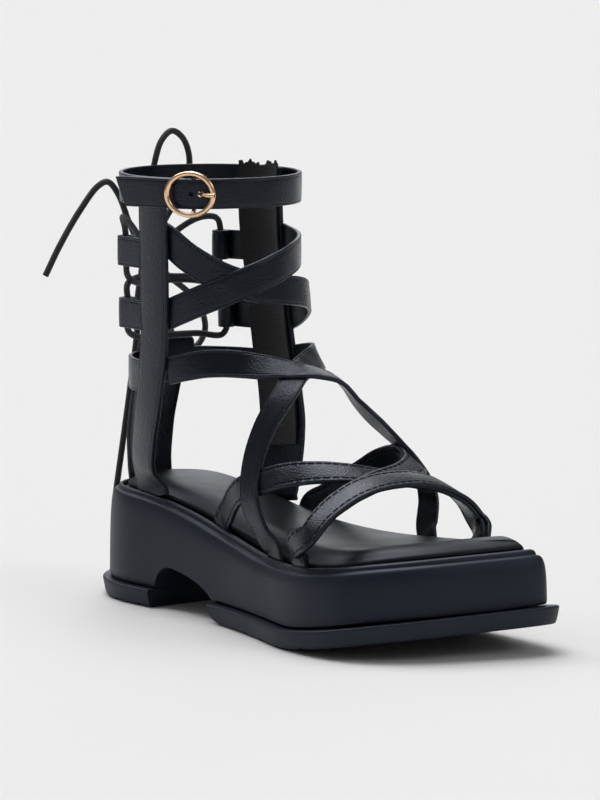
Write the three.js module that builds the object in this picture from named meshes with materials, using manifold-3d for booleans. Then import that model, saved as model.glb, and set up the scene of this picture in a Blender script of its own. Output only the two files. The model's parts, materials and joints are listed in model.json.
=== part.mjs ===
// Gladiator sandal for the right foot, as one shoe standing empty on its sole.
// A pitched platform midsole on a heel piece and a forefoot piece of outsole carries a cushioned
// insole. The upper is a cage of flat leather straps laid over one foot form: an outer upright, a
// zipped inner panel, crossed straps, a heel strap with a back stay, and a buckled ankle strap.
// A round lace runs through loops behind the ankle and ends in a bow.
// Millimetres. +X points to the toe, +Y to the inner side of the foot, +Z up. Stations are
// measured forward from the back of the heel, and the finished shoe is centred at the end.
import * as THREE from 'three';
import { mergeVertices } from 'three/addons/utils/BufferGeometryUtils.js';
import Module from 'manifold-3d';

const wasm = await Module();
wasm.setup();

// ---------------------------------------------------------------- driving dimensions
const LENGTH = 256; // outsole, heel to toe
const OUTSOLE = 8; // thickness of the outsole pieces
const GAP = 0.3; // clearance between separate pieces
const BATTER = 1.6; // how far the midsole wall leans in from bottom to shoulder
const TRAY = 5; // depth of the insole's seat below the foot bed
const SLOT = 2.6; // ring between rim and insole where the straps go in
const TOE_SWEEP = 0.34; // how much further back the little toe's side ends
const SWEEP_START = 150; // station where that sweep begins
const WALL = 2; // thickness of a folded strap
const LAP = 0.3; // how deep crossing straps are joined into each other
const OVER = WALL - LAP; // rise of a strap that lies over another one
const LACE = 2.8; // diameter of the round lace
const WIRE = 2.2; // diameter of the buckle's wire
const HAIR = 0.04; // deviation that a simplified body may have

// Sole, one row for each station: half widths to the outer and inner side, height of the underside
// (toe spring), of the wall's shoulder and of the foot bed, the widths of lip and rim, and how high
// the insole's cushion stands above the bed.
const SOLE = [
  { x: 0, outer: 33, inner: 33, under: 0, shoulder: 45, bed: 51, lip: 3, rim: 4.5, crown: 2.2 },
  { x: 40, outer: 35, inner: 35, under: 0, shoulder: 45, bed: 51.5, lip: 3.2, rim: 4.8, crown: 2.2 },
  { x: 62, outer: 34.5, inner: 35, under: 0, shoulder: 43, bed: 49.5, lip: 3.5, rim: 5.2, crown: 2.4 },
  { x: 85, outer: 34.5, inner: 36, under: 0, shoulder: 38.5, bed: 45.5, lip: 3.8, rim: 5.8, crown: 2.8 },
  { x: 110, outer: 36, inner: 39, under: 0, shoulder: 33, bed: 40, lip: 4.2, rim: 6, crown: 3.6 },
  { x: 140, outer: 41.5, inner: 44, under: 0, shoulder: 29, bed: 36, lip: 4.4, rim: 6, crown: 4.8 },
  { x: 170, outer: 48.5, inner: 48, under: 0, shoulder: 29.5, bed: 35.8, lip: 4.6, rim: 6, crown: 5.2 },
  { x: 195, outer: 50, inner: 49, under: 3, shoulder: 32, bed: 38, lip: 4.8, rim: 6, crown: 4.6 },
  { x: 225, outer: 47, inner: 48, under: 8, shoulder: 35.5, bed: 42, lip: 5, rim: 6.2, crown: 2.8 },
  { x: 256, outer: 40, inner: 45, under: 13, shoulder: 39, bed: 46, lip: 5.2, rim: 6.4, crown: 1.4 },
];
const HEEL_CAP = { length: 40, power: 2.1 }; // round back of the heel
const TOE_CAP = { length: 46, outer: 3, inner: 4.6 }; // squarish toe, sharper on the inner side
const SIDE_STEPS = 28; // points along each side of an outline

// Arch notch between heel and forefoot, seen from the side: forward and up, clockwise.
const NOTCH = [
  { x: 59, z: -1 },
  { x: 59.5, z: 9 },
  { x: 62.5, z: 15.5 },
  { x: 68, z: 18.6 },
  { x: 76, z: 18 },
  { x: 88, z: 15.5 },
  { x: 97, z: 12 },
  { x: 103.5, z: 7 },
  { x: 105.5, z: 3 },
  { x: 111, z: 0.4 },
  { x: 118, z: -1 },
];

// Foot form, one row for each section from the toes (u = 0) to the collar. A section has its middle
// at x, z and leans back by tilt degrees; half is its half width, front its reach to the instep or
// shin, back its reach to the heel, and power its squareness.
const FORM = [
  { u: 0, x: 226, z: 36, tilt: 0, half: 39, front: 21, back: 1, power: 2.6 },
  { u: 1, x: 188, z: 34, tilt: 6, half: 43, front: 29, back: 1, power: 2.5 },
  { u: 2, x: 152, z: 36, tilt: 18, half: 40, front: 43, back: 1, power: 2.3 },
  { u: 3, x: 120, z: 45, tilt: 34, half: 34, front: 58, back: 1, power: 2.2 },
  { u: 4, x: 90, z: 66, tilt: 54, half: 32, front: 62, back: 30, power: 2.1 },
  { u: 5, x: 67, z: 98, tilt: 74, half: 33, front: 52, back: 42, power: 2 },
  { u: 6, x: 60, z: 135, tilt: 86, half: 34, front: 45, back: 40, power: 2 },
  { u: 7, x: 60, z: 187, tilt: 90, half: 36, front: 42, back: 41, power: 2 },
];

// ---------------------------------------------------------------- small helpers
const clamp = (value, low, high) => Math.min(Math.max(value, low), high);
const radians = THREE.MathUtils.degToRad;
const vec = (x, y, z) => new THREE.Vector3(x, y, z);

// Smooth value of a table's column between its rows.
function read(table, by, key, at) {
  const end = table.length - 1;
  let i = 0;
  while (i < end - 1 && at > table[i + 1][by]) i += 1;
  const slope = (k) => {
    const a = table[Math.max(k - 1, 0)];
    const b = table[Math.min(k + 1, end)];
    return (b[key] - a[key]) / (b[by] - a[by]);
  };
  const [p, q] = [table[i], table[i + 1]];
  const span = q[by] - p[by];
  const t = clamp((at - p[by]) / span, 0, 1);
  const rise = t * t * (3 - 2 * t);
  const bend = span * t * (1 - t) * (slope(i) * (1 - t) - slope(i + 1) * t);
  return p[key] + (q[key] - p[key]) * rise + bend;
}
const sole = (key, x) => Math.max(read(SOLE, 'x', key, x), 0);

// Closed body through rings of equally many points, each ring running round in one direction.
// The ends are closed by strips from one half of the ring to the other, unless the rings loop.
function loft(rings, loop = false) {
  const size = rings[0].length;
  const index = [];
  const quad = (a, b, c, d) => index.push(a, b, c, a, c, d);
  const last = loop ? rings.length : rings.length - 1;
  for (let r = 0; r < last; r += 1) {
    const [here, next] = [r * size, ((r + 1) % rings.length) * size];
    for (let i = 0; i < size; i += 1) {
      const j = (i + 1) % size;
      quad(here + i, here + j, next + j, next + i);
    }
  }
  const cap = (base, flip) => {
    for (let i = 0; i < size / 2 - 1; i += 1) {
      const [a, b, c, d] = [base + i, base + i + 1, base + size - 2 - i, base + size - 1 - i];
      if (flip) quad(a, d, c, b);
      else quad(a, b, c, d);
    }
  };
  if (!loop) {
    cap(0, true);
    cap((rings.length - 1) * size, false);
  }
  const geometry = new THREE.BufferGeometry();
  const flat = rings.flat().flatMap((p) => [p.x, p.y, p.z]);
  geometry.setAttribute('position', new THREE.Float32BufferAttribute(flat, 3));
  geometry.setIndex(index);
  return facingOut(geometry);
}

// Turns every face round if the body's volume comes out negative.
function facingOut(geometry) {
  const p = geometry.attributes.position;
  const index = geometry.index.array;
  const [a, b, c] = [vec(), vec(), vec()];
  let volume = 0;
  for (let i = 0; i < index.length; i += 3) {
    a.fromBufferAttribute(p, index[i]);
    b.fromBufferAttribute(p, index[i + 1]);
    c.fromBufferAttribute(p, index[i + 2]);
    volume += a.dot(b.cross(c));
  }
  if (volume < 0) {
    for (let i = 0; i < index.length; i += 3) [index[i], index[i + 1]] = [index[i + 1], index[i]];
  }
  return geometry;
}

// Booleans on closed geometries.
function toSolid(geometry) {
  const bare = geometry.clone();
  for (const name of ['normal', 'uv', 'uv1', 'uv2']) bare.deleteAttribute(name);
  const merged = mergeVertices(bare, 1e-4);
  return new wasm.Manifold(new wasm.Mesh({
    numProp: 3,
    vertProperties: new Float32Array(merged.attributes.position.array),
    triVerts: new Uint32Array(merged.index.array),
  }));
}
function toGeometry(solid) {
  const mesh = solid.getMesh();
  const geometry = new THREE.BufferGeometry();
  geometry.setAttribute('position', new THREE.BufferAttribute(mesh.vertProperties, 3));
  geometry.setIndex(new THREE.BufferAttribute(mesh.triVerts, 1));
  return geometry;
}
const join = (...pieces) => toGeometry(pieces.map(toSolid).reduce((a, b) => a.add(b)));
const cut = (body, ...tools) => toGeometry(tools.map(toSolid).reduce((a, b) => a.subtract(b), toSolid(body)));
// The body without its slivers and closed-in bubbles, and without edges that bend less than a hair.
function clean(geometry) {
  const parts = toSolid(geometry).simplify(HAIR).decompose();
  return toGeometry(parts.reduce((a, b) => (b.volume() > a.volume() ? b : a)));
}
const keep = (body, tool) => toGeometry(toSolid(body).intersect(toSolid(tool)));

const shoe = new THREE.Group();
function addPiece(name, geometry, { color, roughness, metalness = 0 }) {
  const material = new THREE.MeshStandardMaterial({ color, roughness, metalness });
  const mesh = new THREE.Mesh(geometry, material);
  mesh.name = name;
  shoe.add(mesh);
  return mesh;
}
const RUBBER = { color: '#2b2d33', roughness: 0.6 };
const LEATHER = { color: '#1f2026', roughness: 0.42 };
const LINING = { color: '#17171b', roughness: 0.5 };
const CLOTH = { color: '#121316', roughness: 0.9 };
const GOLD = { color: '#e3b98f', roughness: 0.22, metalness: 1 };
const METAL = { color: '#3a3b40', roughness: 0.35, metalness: 1 };
const CORD = { color: '#1b1c21', roughness: 0.8 };

// ---------------------------------------------------------------- sole
// Outline of the outsole's lip, from the heel along the outer side to the toe and back inside.
function lipOutline() {
  const side = (sign, key) => Array.from({ length: SIDE_STEPS }, (_, k) => {
    const x = (LENGTH * (1 - Math.cos((Math.PI * (k + 0.5)) / SIDE_STEPS))) / 2;
    const bulge = (reach, length, power) => (1 - (1 - Math.min(reach / length, 1)) ** power) ** (1 / power);
    const heel = bulge(x, HEEL_CAP.length, HEEL_CAP.power);
    const half = sole(key, x) * heel * bulge(LENGTH - x, TOE_CAP.length, TOE_CAP[key]);
    const sweep = TOE_SWEEP * (sole('inner', x) - sign * half);
    const forward = clamp((x - SWEEP_START) / (LENGTH - SWEEP_START), 0, 1) ** 1.6;
    return new THREE.Vector2(x - sweep * forward, sign * half);
  });
  return [...side(-1, 'outer'), ...side(1, 'inner').reverse()];
}
const LIP_OUTLINE = lipOutline();

// The same outline moved in by a distance that may change along the shoe, at a given height.
function ring(inset, height) {
  const count = LIP_OUTLINE.length;
  return LIP_OUTLINE.map((p, i) => {
    const before = LIP_OUTLINE[(i + count - 1) % count];
    const after = LIP_OUTLINE[(i + 1) % count];
    const inward = new THREE.Vector2(before.y - after.y, after.x - before.x).normalize();
    const x = p.x + inward.x * inset(p.x);
    const y = p.y + inward.y * inset(p.x);
    return vec(x, y, height(x));
  });
}
const rimInset = (share) => (x) => sole('lip', x) + BATTER + share * sole('rim', x);
const rimHeight = (share) => (x) => sole('shoulder', x) + share * (sole('bed', x) - sole('shoulder', x));

// Side view cutters, drawn in X and Z and pushed across the whole width.
const CUT_WIDTH = 140;
function acrossWidth(points) {
  const outline = new THREE.Shape(points.map((p) => new THREE.Vector2(p.x, p.z)));
  const body = new THREE.ExtrudeGeometry(outline, { depth: CUT_WIDTH, bevelEnabled: false });
  return body.rotateX(Math.PI / 2).translate(0, CUT_WIDTH / 2, 0);
}
const notchCurve = new THREE.SplineCurve(NOTCH.map((p) => new THREE.Vector2(p.x, p.z)));
const notchLine = notchCurve.getPoints(24).map((p) => ({ x: p.x, z: p.y }));
const notch = acrossWidth([...notchLine, { x: 118, z: -6 }, { x: 59, z: -6 }]);

function outsole() {
  const undercut = 1.2;
  const top = (x) => sole('under', x) + OUTSOLE;
  return loft([
    ring(() => undercut + 1.2, (x) => sole('under', x)),
    ring(() => undercut, (x) => sole('under', x) + 1.2),
    ring(() => 0, (x) => top(x) - 1),
    ring(() => 0.8, top),
  ]);
}
const parting = NOTCH[0].x + 12; // inside the notch, between heel and forefoot
const halfBox = (from, to) => acrossWidth([
  { x: from, z: -5 }, { x: to, z: -5 }, { x: to, z: 60 }, { x: from, z: 60 },
]);
const wholeOutsole = cut(outsole(), notch);
addPiece('outsole_heel', keep(wholeOutsole, halfBox(-10, parting)), RUBBER);
addPiece('outsole_forefoot', keep(wholeOutsole, halfBox(parting, LENGTH + 10)), RUBBER);

function midsole() {
  const foot = (x) => sole('under', x) + OUTSOLE + GAP;
  const part = (share) => (x) => foot(x) + share * (sole('shoulder', x) - foot(x));
  const wall = (lean) => (x) => sole('lip', x) + lean * BATTER;
  const seat = (x) => sole('bed', x) - TRAY;
  return loft([
    ring(wall(0), foot),
    ring(wall(0.15), part(0.5)),
    ring(wall(0.55), part(0.85)),
    ring(wall(1), part(1)),
    ring(rimInset(0.2), rimHeight(0.3)),
    ring(rimInset(0.48), rimHeight(0.34)),
    ring(rimInset(0.62), rimHeight(0.58)),
    ring(rimInset(0.95), rimHeight(0.62)),
    ring(rimInset(1), seat),
  ]);
}
const slotInset = (more) => (x) => rimInset(1)(x) + SLOT + more;
function insole() {
  const low = (rise) => (x) => sole('bed', x) - TRAY + GAP + rise;
  const puff = (share) => (x) => sole('bed', x) + share * sole('crown', x);
  return loft([
    ring(slotInset(0.6), low(0)),
    ring(slotInset(0), low(0.8)),
    ring(slotInset(0), puff(0.1)),
    ring(slotInset(0.9), puff(0.55)),
    ring(slotInset(3.4), puff(0.86)),
    ring(slotInset(10), puff(1)),
  ]);
}

// ---------------------------------------------------------------- foot form and straps
// Point of the foot form: u along the foot, turn in degrees from the top or shin (0) to the inner
// side (90), the outer side (-90) and the heel (180), lifted off the form by some millimetres.
function onForm(u, turn, lift = 0) {
  const row = (key) => read(FORM, 'u', key, u);
  const [c, s] = [Math.cos(radians(turn)), Math.sin(radians(turn))];
  const shape = (v) => Math.sign(v) * Math.abs(v) ** (2 / row('power'));
  const out = shape(c) * (row(c > 0 ? 'front' : 'back') + lift);
  const tilt = radians(row('tilt'));
  const y = (row('half') + lift) * shape(s);
  return vec(row('x') + out * Math.sin(tilt), y, row('z') + out * Math.cos(tilt));
}
function formNormal(u, turn) {
  const along = onForm(u + 0.04, turn).sub(onForm(u - 0.04, turn));
  const round = onForm(u, turn + 1.5).sub(onForm(u, turn - 1.5));
  return round.cross(along).normalize();
}

// Entry of a strap between rim and insole at a station, on the outer (-1) or inner (1) side, at a
// height over the bed and a distance out from the middle of the slot.
function slotPoint(side, x, height, lift = 0) {
  const middle = ring((at) => rimInset(1)(at) + SLOT / 2, (at) => sole('bed', at));
  const half = side < 0 ? middle.slice(0, SIDE_STEPS) : middle.slice(SIDE_STEPS).reverse();
  const k = clamp(half.findIndex((p) => p.x > x), 1, SIDE_STEPS - 1);
  const [a, b] = [half[k - 1], half[k]];
  const point = a.clone().lerp(b, (x - a.x) / (b.x - a.x));
  const normal = vec(-(b.y - a.y) * side, (b.x - a.x) * side, 0).normalize();
  return { point: point.setZ(sole('bed', x) + height).addScaledVector(normal, lift), normal };
}

// A row of a strap's table is a place on the foot form, a slot in the sole, or a free point with
// the compass direction that its outer face looks to.
function place(row) {
  if (row.slot !== undefined) return slotPoint(row.slot, row.x, row.up, row.lift);
  if (row.u !== undefined) {
    const normal = formNormal(row.u, row.turn);
    return { point: onForm(row.u, row.turn).addScaledVector(normal, row.lift ?? 0), normal };
  }
  const facing = radians(row.facing);
  return { point: vec(row.x, row.y, row.z), normal: vec(Math.cos(facing), Math.sin(facing), 0) };
}

// Flat band through the rows: inner face on the rows' points, WALL thick to the outside. A row may
// give its own width, and bow, the radius of a section that is curved across its width.
function band(rows, { width, steps = 24, thickness = WALL, inner = 0, columns = 2, grow = 0 }) {
  const places = rows.map(place);
  const path = new THREE.CatmullRomCurve3(places.map((p) => p.point), false, 'centripetal');
  const sections = [];
  for (let i = 0; i <= steps; i += 1) {
    const t = i / steps;
    const k = Math.min(Math.floor(t * (rows.length - 1)), rows.length - 2);
    const share = t * (rows.length - 1) - k;
    const smooth = share * share * (3 - 2 * share);
    const [here, next] = [rows[k], rows[k + 1]];
    const blend = (key, plain) => THREE.MathUtils.lerp(here[key] ?? plain, next[key] ?? plain, smooth);
    const wide = blend('width', width - grow) + grow;
    const bow = blend('bow', FLAT);
    const along = path.getTangent(t);
    const out = places[k].normal.clone().lerp(places[k + 1].normal, smooth);
    out.addScaledVector(along, -out.dot(along)).normalize();
    const across = out.clone().cross(along).normalize();
    const middle = path.getPoint(t);
    const face = (level) => Array.from({ length: columns }, (_, c) => {
      const angle = ((c / (columns - 1) - 0.5) * wide) / bow;
      const side = (bow + level) * Math.sin(angle);
      const drop = bow - (bow + level) * Math.cos(angle);
      return middle.clone().addScaledVector(across, side).addScaledVector(out, -drop);
    });
    sections.push([...face(inner), ...face(inner + thickness).reverse()]);
  }
  return loft(sections);
}
const FLAT = 4000; // radius of a section that is as good as flat

const ENTRY = -4.4; // how deep a strap's end sits below the foot bed
const OUTER = -1;
const INNER = 1;

// Straps over the forefoot and instep, each from its landing on one side to the other side.
const STRAPS = {
  toe: [
    { slot: OUTER, x: 171, up: ENTRY }, { slot: OUTER, x: 171, up: 1.5, lift: 0.7 },
    { slot: OUTER, x: 172, up: 6, lift: 3.6 }, { u: 1.13, turn: -68, lift: OVER },
    { u: 1.11, turn: -53, lift: OVER }, { u: 1.13, turn: -34, lift: OVER }, { u: 1.16, turn: -14, lift: 2.6 },
    { u: 1.15, turn: 2, lift: 3.3 }, { u: 1.14, turn: 17, lift: 3 }, { u: 1.1, turn: 34, lift: 2.4 },
    { u: 1.01, turn: 51, lift: 2.2 }, { u: 0.96, turn: 67, lift: OVER },
    { slot: INNER, x: 196, up: 6, lift: 5.4 },
    { slot: INNER, x: 199, up: 1.5, lift: 1.6 }, { slot: INNER, x: 200, up: ENTRY },
  ],
  rear_to_toe: [
    { slot: OUTER, x: 99, up: ENTRY }, { slot: OUTER, x: 101, up: 1, lift: 0.6 },
    { slot: OUTER, x: 109, up: 8, lift: 3.6 },
    { u: 3.12, turn: -77 }, { u: 2.73, turn: -63 }, { u: 2.3, turn: -48 }, { u: 1.9, turn: -31 },
    { u: 1.64, turn: -16 }, { u: 1.43, turn: -2 }, { u: 1.26, turn: 14, lift: 0.4 },
    { u: 1.13, turn: 32, lift: 0.8 }, { u: 1.03, turn: 50, lift: 0.5 }, { u: 0.97, turn: 68 },
    { slot: INNER, x: 194, up: 6, lift: 4 },
    { slot: INNER, x: 197, up: 1.5, lift: 1.2 }, { slot: INNER, x: 198, up: ENTRY },
  ],
  rear_to_ball: [
    { slot: INNER, x: 96, up: ENTRY }, { slot: INNER, x: 97.4, up: 1.5, lift: 0.8 },
    { slot: INNER, x: 104, up: 7, lift: 3.2 }, { u: 3.18, turn: 76, lift: 0.4 },
    { u: 2.92, turn: 64, lift: 1 }, { u: 2.6, turn: 54, lift: 1.6 }, { u: 2.3, turn: 45, lift: 2.2 },
    { u: 2.05, turn: 39, lift: 2.4 }, { u: 1.8, turn: 33, lift: 2.2 }, { u: 1.58, turn: 23, lift: 1.9 },
    { u: 1.4, turn: 11, lift: OVER }, { u: 1.28, turn: -2, lift: OVER }, { u: 1.21, turn: -15, lift: 1 },
    { u: 1.17, turn: -31, lift: 0.2 }, { u: 1.15, turn: -50 }, { u: 1.16, turn: -68 },
    { slot: OUTER, x: 174, up: 6, lift: 2.2 }, { slot: OUTER, x: 173, up: 1.5, lift: 0.4 },
    { slot: OUTER, x: 173, up: ENTRY },
  ],
  instep_down: [
    { u: 5.16, turn: 84 }, { u: 5.14, turn: 68, lift: 1 }, { u: 5.08, turn: 50, lift: 1.2 },
    { u: 4.97, turn: 31, lift: 1 }, { u: 4.83, turn: 13, lift: 0.6 }, { u: 4.66, turn: -2 },
    { u: 4.44, turn: -14 }, { u: 4.2, turn: -23 }, { u: 3.95, turn: -33 }, { u: 3.7, turn: -44 },
    { u: 3.4, turn: -56, lift: 0.2 }, { u: 3.04, turn: -67, lift: 1.3 }, { u: 2.64, turn: -75, lift: OVER },
    { slot: OUTER, x: 143.6, up: 7, lift: 4.2 }, { slot: OUTER, x: 146.6, up: 1.5, lift: 1 },
    { slot: OUTER, x: 148, up: ENTRY },
  ],
  ankle_to_ball: [
    { u: 5.15, turn: -80 }, { u: 5.15, turn: -67 }, { u: 5.13, turn: -53 }, { u: 5.04, turn: -39, lift: 0.5 },
    { u: 4.88, turn: -26, lift: 1.2 }, { u: 4.65, turn: -13, lift: OVER }, { u: 4.44, turn: 2, lift: OVER },
    { u: 4.26, turn: 18, lift: 1.4 }, { u: 4.05, turn: 31, lift: 1 }, { u: 3.76, turn: 39, lift: 1.2 },
    { u: 3.4, turn: 41.5, lift: 2 }, { u: 3.03, turn: 42, lift: 3 }, { u: 2.68, turn: 42, lift: 3.6 },
    { u: 2.4, turn: 43, lift: 4 }, { u: 2.16, turn: 47, lift: 4 }, { u: 1.98, turn: 56, lift: 3 },
    { u: 1.9, turn: 68, lift: 2 }, { slot: INNER, x: 162, up: 7, lift: 4.4 },
    { slot: INNER, x: 165, up: 1.5, lift: 1.2 }, { slot: INNER, x: 166, up: ENTRY },
  ],
};

// Straps round the front of the ankle, from the outer upright to the inner panel.
const ANKLE_STRAPS = {
  down: [
    { u: 6.6, turn: -80 }, { u: 6.52, turn: -69 }, { u: 6.41, turn: -59 }, { u: 6.3, turn: -47 },
    { u: 6.2, turn: -34 }, { u: 6.11, turn: -16 }, { u: 6.06, turn: 6, lift: 0.6 },
    { u: 6, turn: 32, lift: 2 },
    { u: 5.9, turn: 54, lift: 2.6 }, { u: 5.77, turn: 70, lift: 1.4 }, { u: 5.68, turn: 84 },
  ],
  up: [
    { u: 5.8, turn: -80 }, { u: 5.86, turn: -71 }, { u: 5.98, turn: -52, lift: 0.6 },
    { u: 6.12, turn: -28, lift: 1.6 }, { u: 6.24, turn: -6, lift: OVER }, { u: 6.34, turn: 18, lift: 0.4 },
    { u: 6.39, turn: 42, lift: -0.8 }, { u: 6.42, turn: 64, lift: -0.4 }, { u: 6.46, turn: 84 },
  ],
};

// Upright on the outer side and zipped panel on the inner side, from the collar to the sole.
const COLLAR = 188.5;
const OUTER_UPRIGHT = [
  { x: 67.6, y: -36.6, z: COLLAR, facing: -90, bow: 60 }, { x: 67.6, y: -36, z: 165, facing: -90, bow: 60 },
  { x: 67, y: -35, z: 135, facing: -90, bow: 60 }, { x: 65.4, y: -34.4, z: 113, facing: -91, bow: 60 },
  { x: 60.4, y: -33.6, z: 91, facing: -94, bow: 60 }, { x: 55, y: -32, z: 76, facing: -97, bow: 50 },
  { x: 49.6, y: -28.6, z: 61, facing: -97, bow: 50 }, { slot: OUTER, x: 50, up: -1, bow: 90 },
  { slot: OUTER, x: 51, up: ENTRY, bow: 90 },
];
const INNER_PANEL = [
  { x: 51, y: 34.9, z: COLLAR, facing: 98, bow: 34, width: 26 },
  { x: 51.5, y: 34.4, z: 167, facing: 97, bow: 34, width: 26 },
  { x: 56, y: 34, z: 140, facing: 94, bow: 38, width: 27 },
  { x: 61.5, y: 33.4, z: 113, facing: 91, bow: 44, width: 28.5 },
  { x: 67, y: 32.8, z: 91, facing: 90, bow: 60, width: 30 },
  { x: 70.5, y: 31, z: 74, facing: 90, bow: 80, width: 31.5 },
  { x: 72.6, y: 26.8, z: 60, facing: 90, bow: 160, width: 32 },
  { slot: INNER, x: 73, up: -1, bow: 400, width: 32 },
  { slot: INNER, x: 73.5, up: ENTRY, bow: 400, width: 32 },
];
const HEEL_STRAP = [
  { x: 58, y: -33, z: 101, facing: -92 }, { x: 42, y: -28.6, z: 101, facing: -117 },
  { x: 28.6, y: -18, z: 101, facing: -142 }, { x: 22.4, y: 0, z: 101, facing: -180 },
  { x: 28.6, y: 18, z: 101, facing: -218 }, { x: 42, y: 28.6, z: 101, facing: -243 },
  { x: 56, y: 32.8, z: 101, facing: -264 },
];
const BACK_STAY = [
  { x: 12.4, y: 0, z: 47, facing: 180, bow: 20, width: 23 },
  { x: 11.2, y: 0, z: 56, facing: 180, bow: 21, width: 23.5 },
  { x: 12, y: 0, z: 72, facing: 180, bow: 24, width: 25 },
  { x: 16, y: 0, z: 88, facing: 180, bow: 27, width: 26 },
  { x: 20, y: 0, z: 100, facing: 180, bow: 29, width: 27 },
  { x: 22, y: 0, z: 112, facing: 180, bow: 30, width: 27 },
];
const STAY_FOLD = [
  { x: 26, y: 0, z: 93, facing: 180, bow: 26 }, { x: 25.8, y: 0, z: 112, facing: 180, bow: 26 },
];
// Ankle strap: from the buckle round the heel and the shin, back under the buckle to its free end.
const ANKLE_STRAP_Z = 182.5;
const ANKLE_U = 7 - (187 - ANKLE_STRAP_Z) / 52;
const ANKLE_STRAP = [
  { turn: -56, lift: OVER }, { turn: -74, lift: OVER }, { turn: -94, lift: OVER }, { turn: -118, lift: 0.8 },
  { turn: -148 }, { turn: -180 }, { turn: -212 }, { turn: -232, lift: 1.8 }, { turn: -246, lift: 2 },
  { turn: -262, lift: 2 }, { turn: -280, lift: 1.2 }, { turn: -305, lift: -0.8 }, { turn: -332, lift: -1.4 },
  { turn: -360, lift: -1.4 }, { turn: -383, lift: -0.4 }, { turn: -398, lift: 1.8 },
  { turn: -412, lift: 3.4 },
  { turn: -426, lift: 3.6 }, { turn: -440, lift: 3.6 },
].map((row) => ({ ...row, u: ANKLE_U }));
const FREE_END = [
  { x: 56, y: -40.6, z: 182, facing: -91 }, { x: 40, y: -41.2, z: 181.2, facing: -94, width: 12.2 },
];

// Every band that is laid on the foot or stands in the sole, as its rows and its section.
const FOREFOOT = { width: 12, steps: 26 };
const ANKLE = { width: 13, steps: 20 };
const UPRIGHT = { width: 18.6, steps: 18, columns: 4, thickness: 2.2 };
const PANEL = { width: 30, steps: 18, columns: 5, thickness: 2.2 };
const STAY = { width: 27, steps: 14, columns: 5 };
const bands = [
  ...Object.values(STRAPS).map((rows) => band(rows, FOREFOOT)),
  ...Object.values(ANKLE_STRAPS).map((rows) => band(rows, ANKLE)),
  band(OUTER_UPRIGHT, UPRIGHT),
  band(HEEL_STRAP, { width: 14, steps: 16 }),
  band(BACK_STAY, STAY),
  band(STAY_FOLD, { ...STAY, steps: 2 }),
];

// Room for the bands in the midsole's rim and along the insole's edge, GAP wide all round.
function sockets() {
  const room = (rows, section) => band(rows, {
    ...section,
    width: section.width + 2 * GAP + 0.4,
    grow: 2 * GAP + 0.4,
    inner: -GAP - 0.05,
    thickness: (section.thickness ?? WALL) + 2 * GAP + 0.1,
  });
  const deep = (rows) => rows.map((row, i) => {
    const sunk = row.slot !== undefined && (i === 0 || i === rows.length - 1);
    return sunk ? { ...row, up: row.up - 0.5 } : row;
  });
  const stay = [{ ...BACK_STAY[0], z: BACK_STAY[0].z - 0.5 }, ...BACK_STAY.slice(1)];
  return [
    ...Object.values(STRAPS).map((rows) => room(deep(rows), FOREFOOT)),
    room(deep(OUTER_UPRIGHT), UPRIGHT),
    room(deep(INNER_PANEL), PANEL),
    room(stay, STAY),
  ];
}
addPiece('midsole', clean(cut(midsole(), notch, ...sockets())), RUBBER);
addPiece('insole', clean(cut(insole(), ...sockets())), LINING);

// The top of the stay is turned over the heel strap, so its two layers are closed along the top.
const foldTop = band([
  { x: 22, y: 0, z: 109.4, facing: 180, bow: 28 }, { x: 22, y: 0, z: 112, facing: 180, bow: 28 },
], { ...STAY, steps: 1, inner: -3.9, thickness: 4.4 });

// Ankle strap with the slanting cut across its free end.
const CUT_FROM = -40.1; // clear of the ring, so that only the free end is cut
const slant = acrossWidth([
  { x: 20, z: 170 }, { x: 59, z: 170 }, { x: 44, z: 196 }, { x: 20, z: 196 },
]).translate(0, CUT_FROM - CUT_WIDTH / 2, 0);
const ankleStrap = cut(band([...ANKLE_STRAP, ...FREE_END], { width: 13, steps: 76 }), slant);

// Inner panel, with the opening for the zip from the collar to just above the sole.
const ZIP_OPENING = 6.6;
const zipEnd = { ...INNER_PANEL[6], x: 71.2, y: 30.2, z: 70 };
const zipRows = [...INNER_PANEL.slice(0, 6), zipEnd].map((row) => ({ ...row, width: ZIP_OPENING }));
const zipOpening = band(zipRows, { width: ZIP_OPENING, steps: 14, inner: -3, thickness: 9 });
const innerPanel = cut(band(INNER_PANEL, PANEL), zipOpening);

// Loop of leather behind an upright, through which the lace runs up or down.
const LOOP = { height: 13, bore: 2.2, outside: 3.9 };
function laceLoop({ root, eye, z }) {
  const disc = new THREE.Shape().absarc(eye.x, eye.y, LOOP.outside, 0, Math.PI * 2, false);
  disc.holes.push(new THREE.Path().absarc(eye.x, eye.y, LOOP.bore, 0, Math.PI * 2, true));
  const along = new THREE.Vector2(root.x - eye.x, root.y - eye.y).normalize();
  const out = new THREE.Vector2(along.y, -along.x).multiplyScalar(Math.sign(eye.y) * -1);
  const near = (LOOP.outside + LOOP.bore) / 2 - WALL / 2;
  const corner = (p, level, ahead) => new THREE.Vector2(
    p.x + out.x * level + along.x * ahead,
    p.y + out.y * level + along.y * ahead,
  );
  const strip = new THREE.Shape([
    corner(eye, near, 0), corner(root, near, 0), corner(root, LOOP.outside, 0), corner(eye, LOOP.outside, 0),
  ]);
  const options = { depth: LOOP.height, bevelEnabled: false, curveSegments: 14 };
  const raise = z - LOOP.height / 2;
  return join(
    new THREE.ExtrudeGeometry(disc, options).translate(0, 0, raise),
    new THREE.ExtrudeGeometry(strip, options).translate(0, 0, raise),
  );
}
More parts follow.
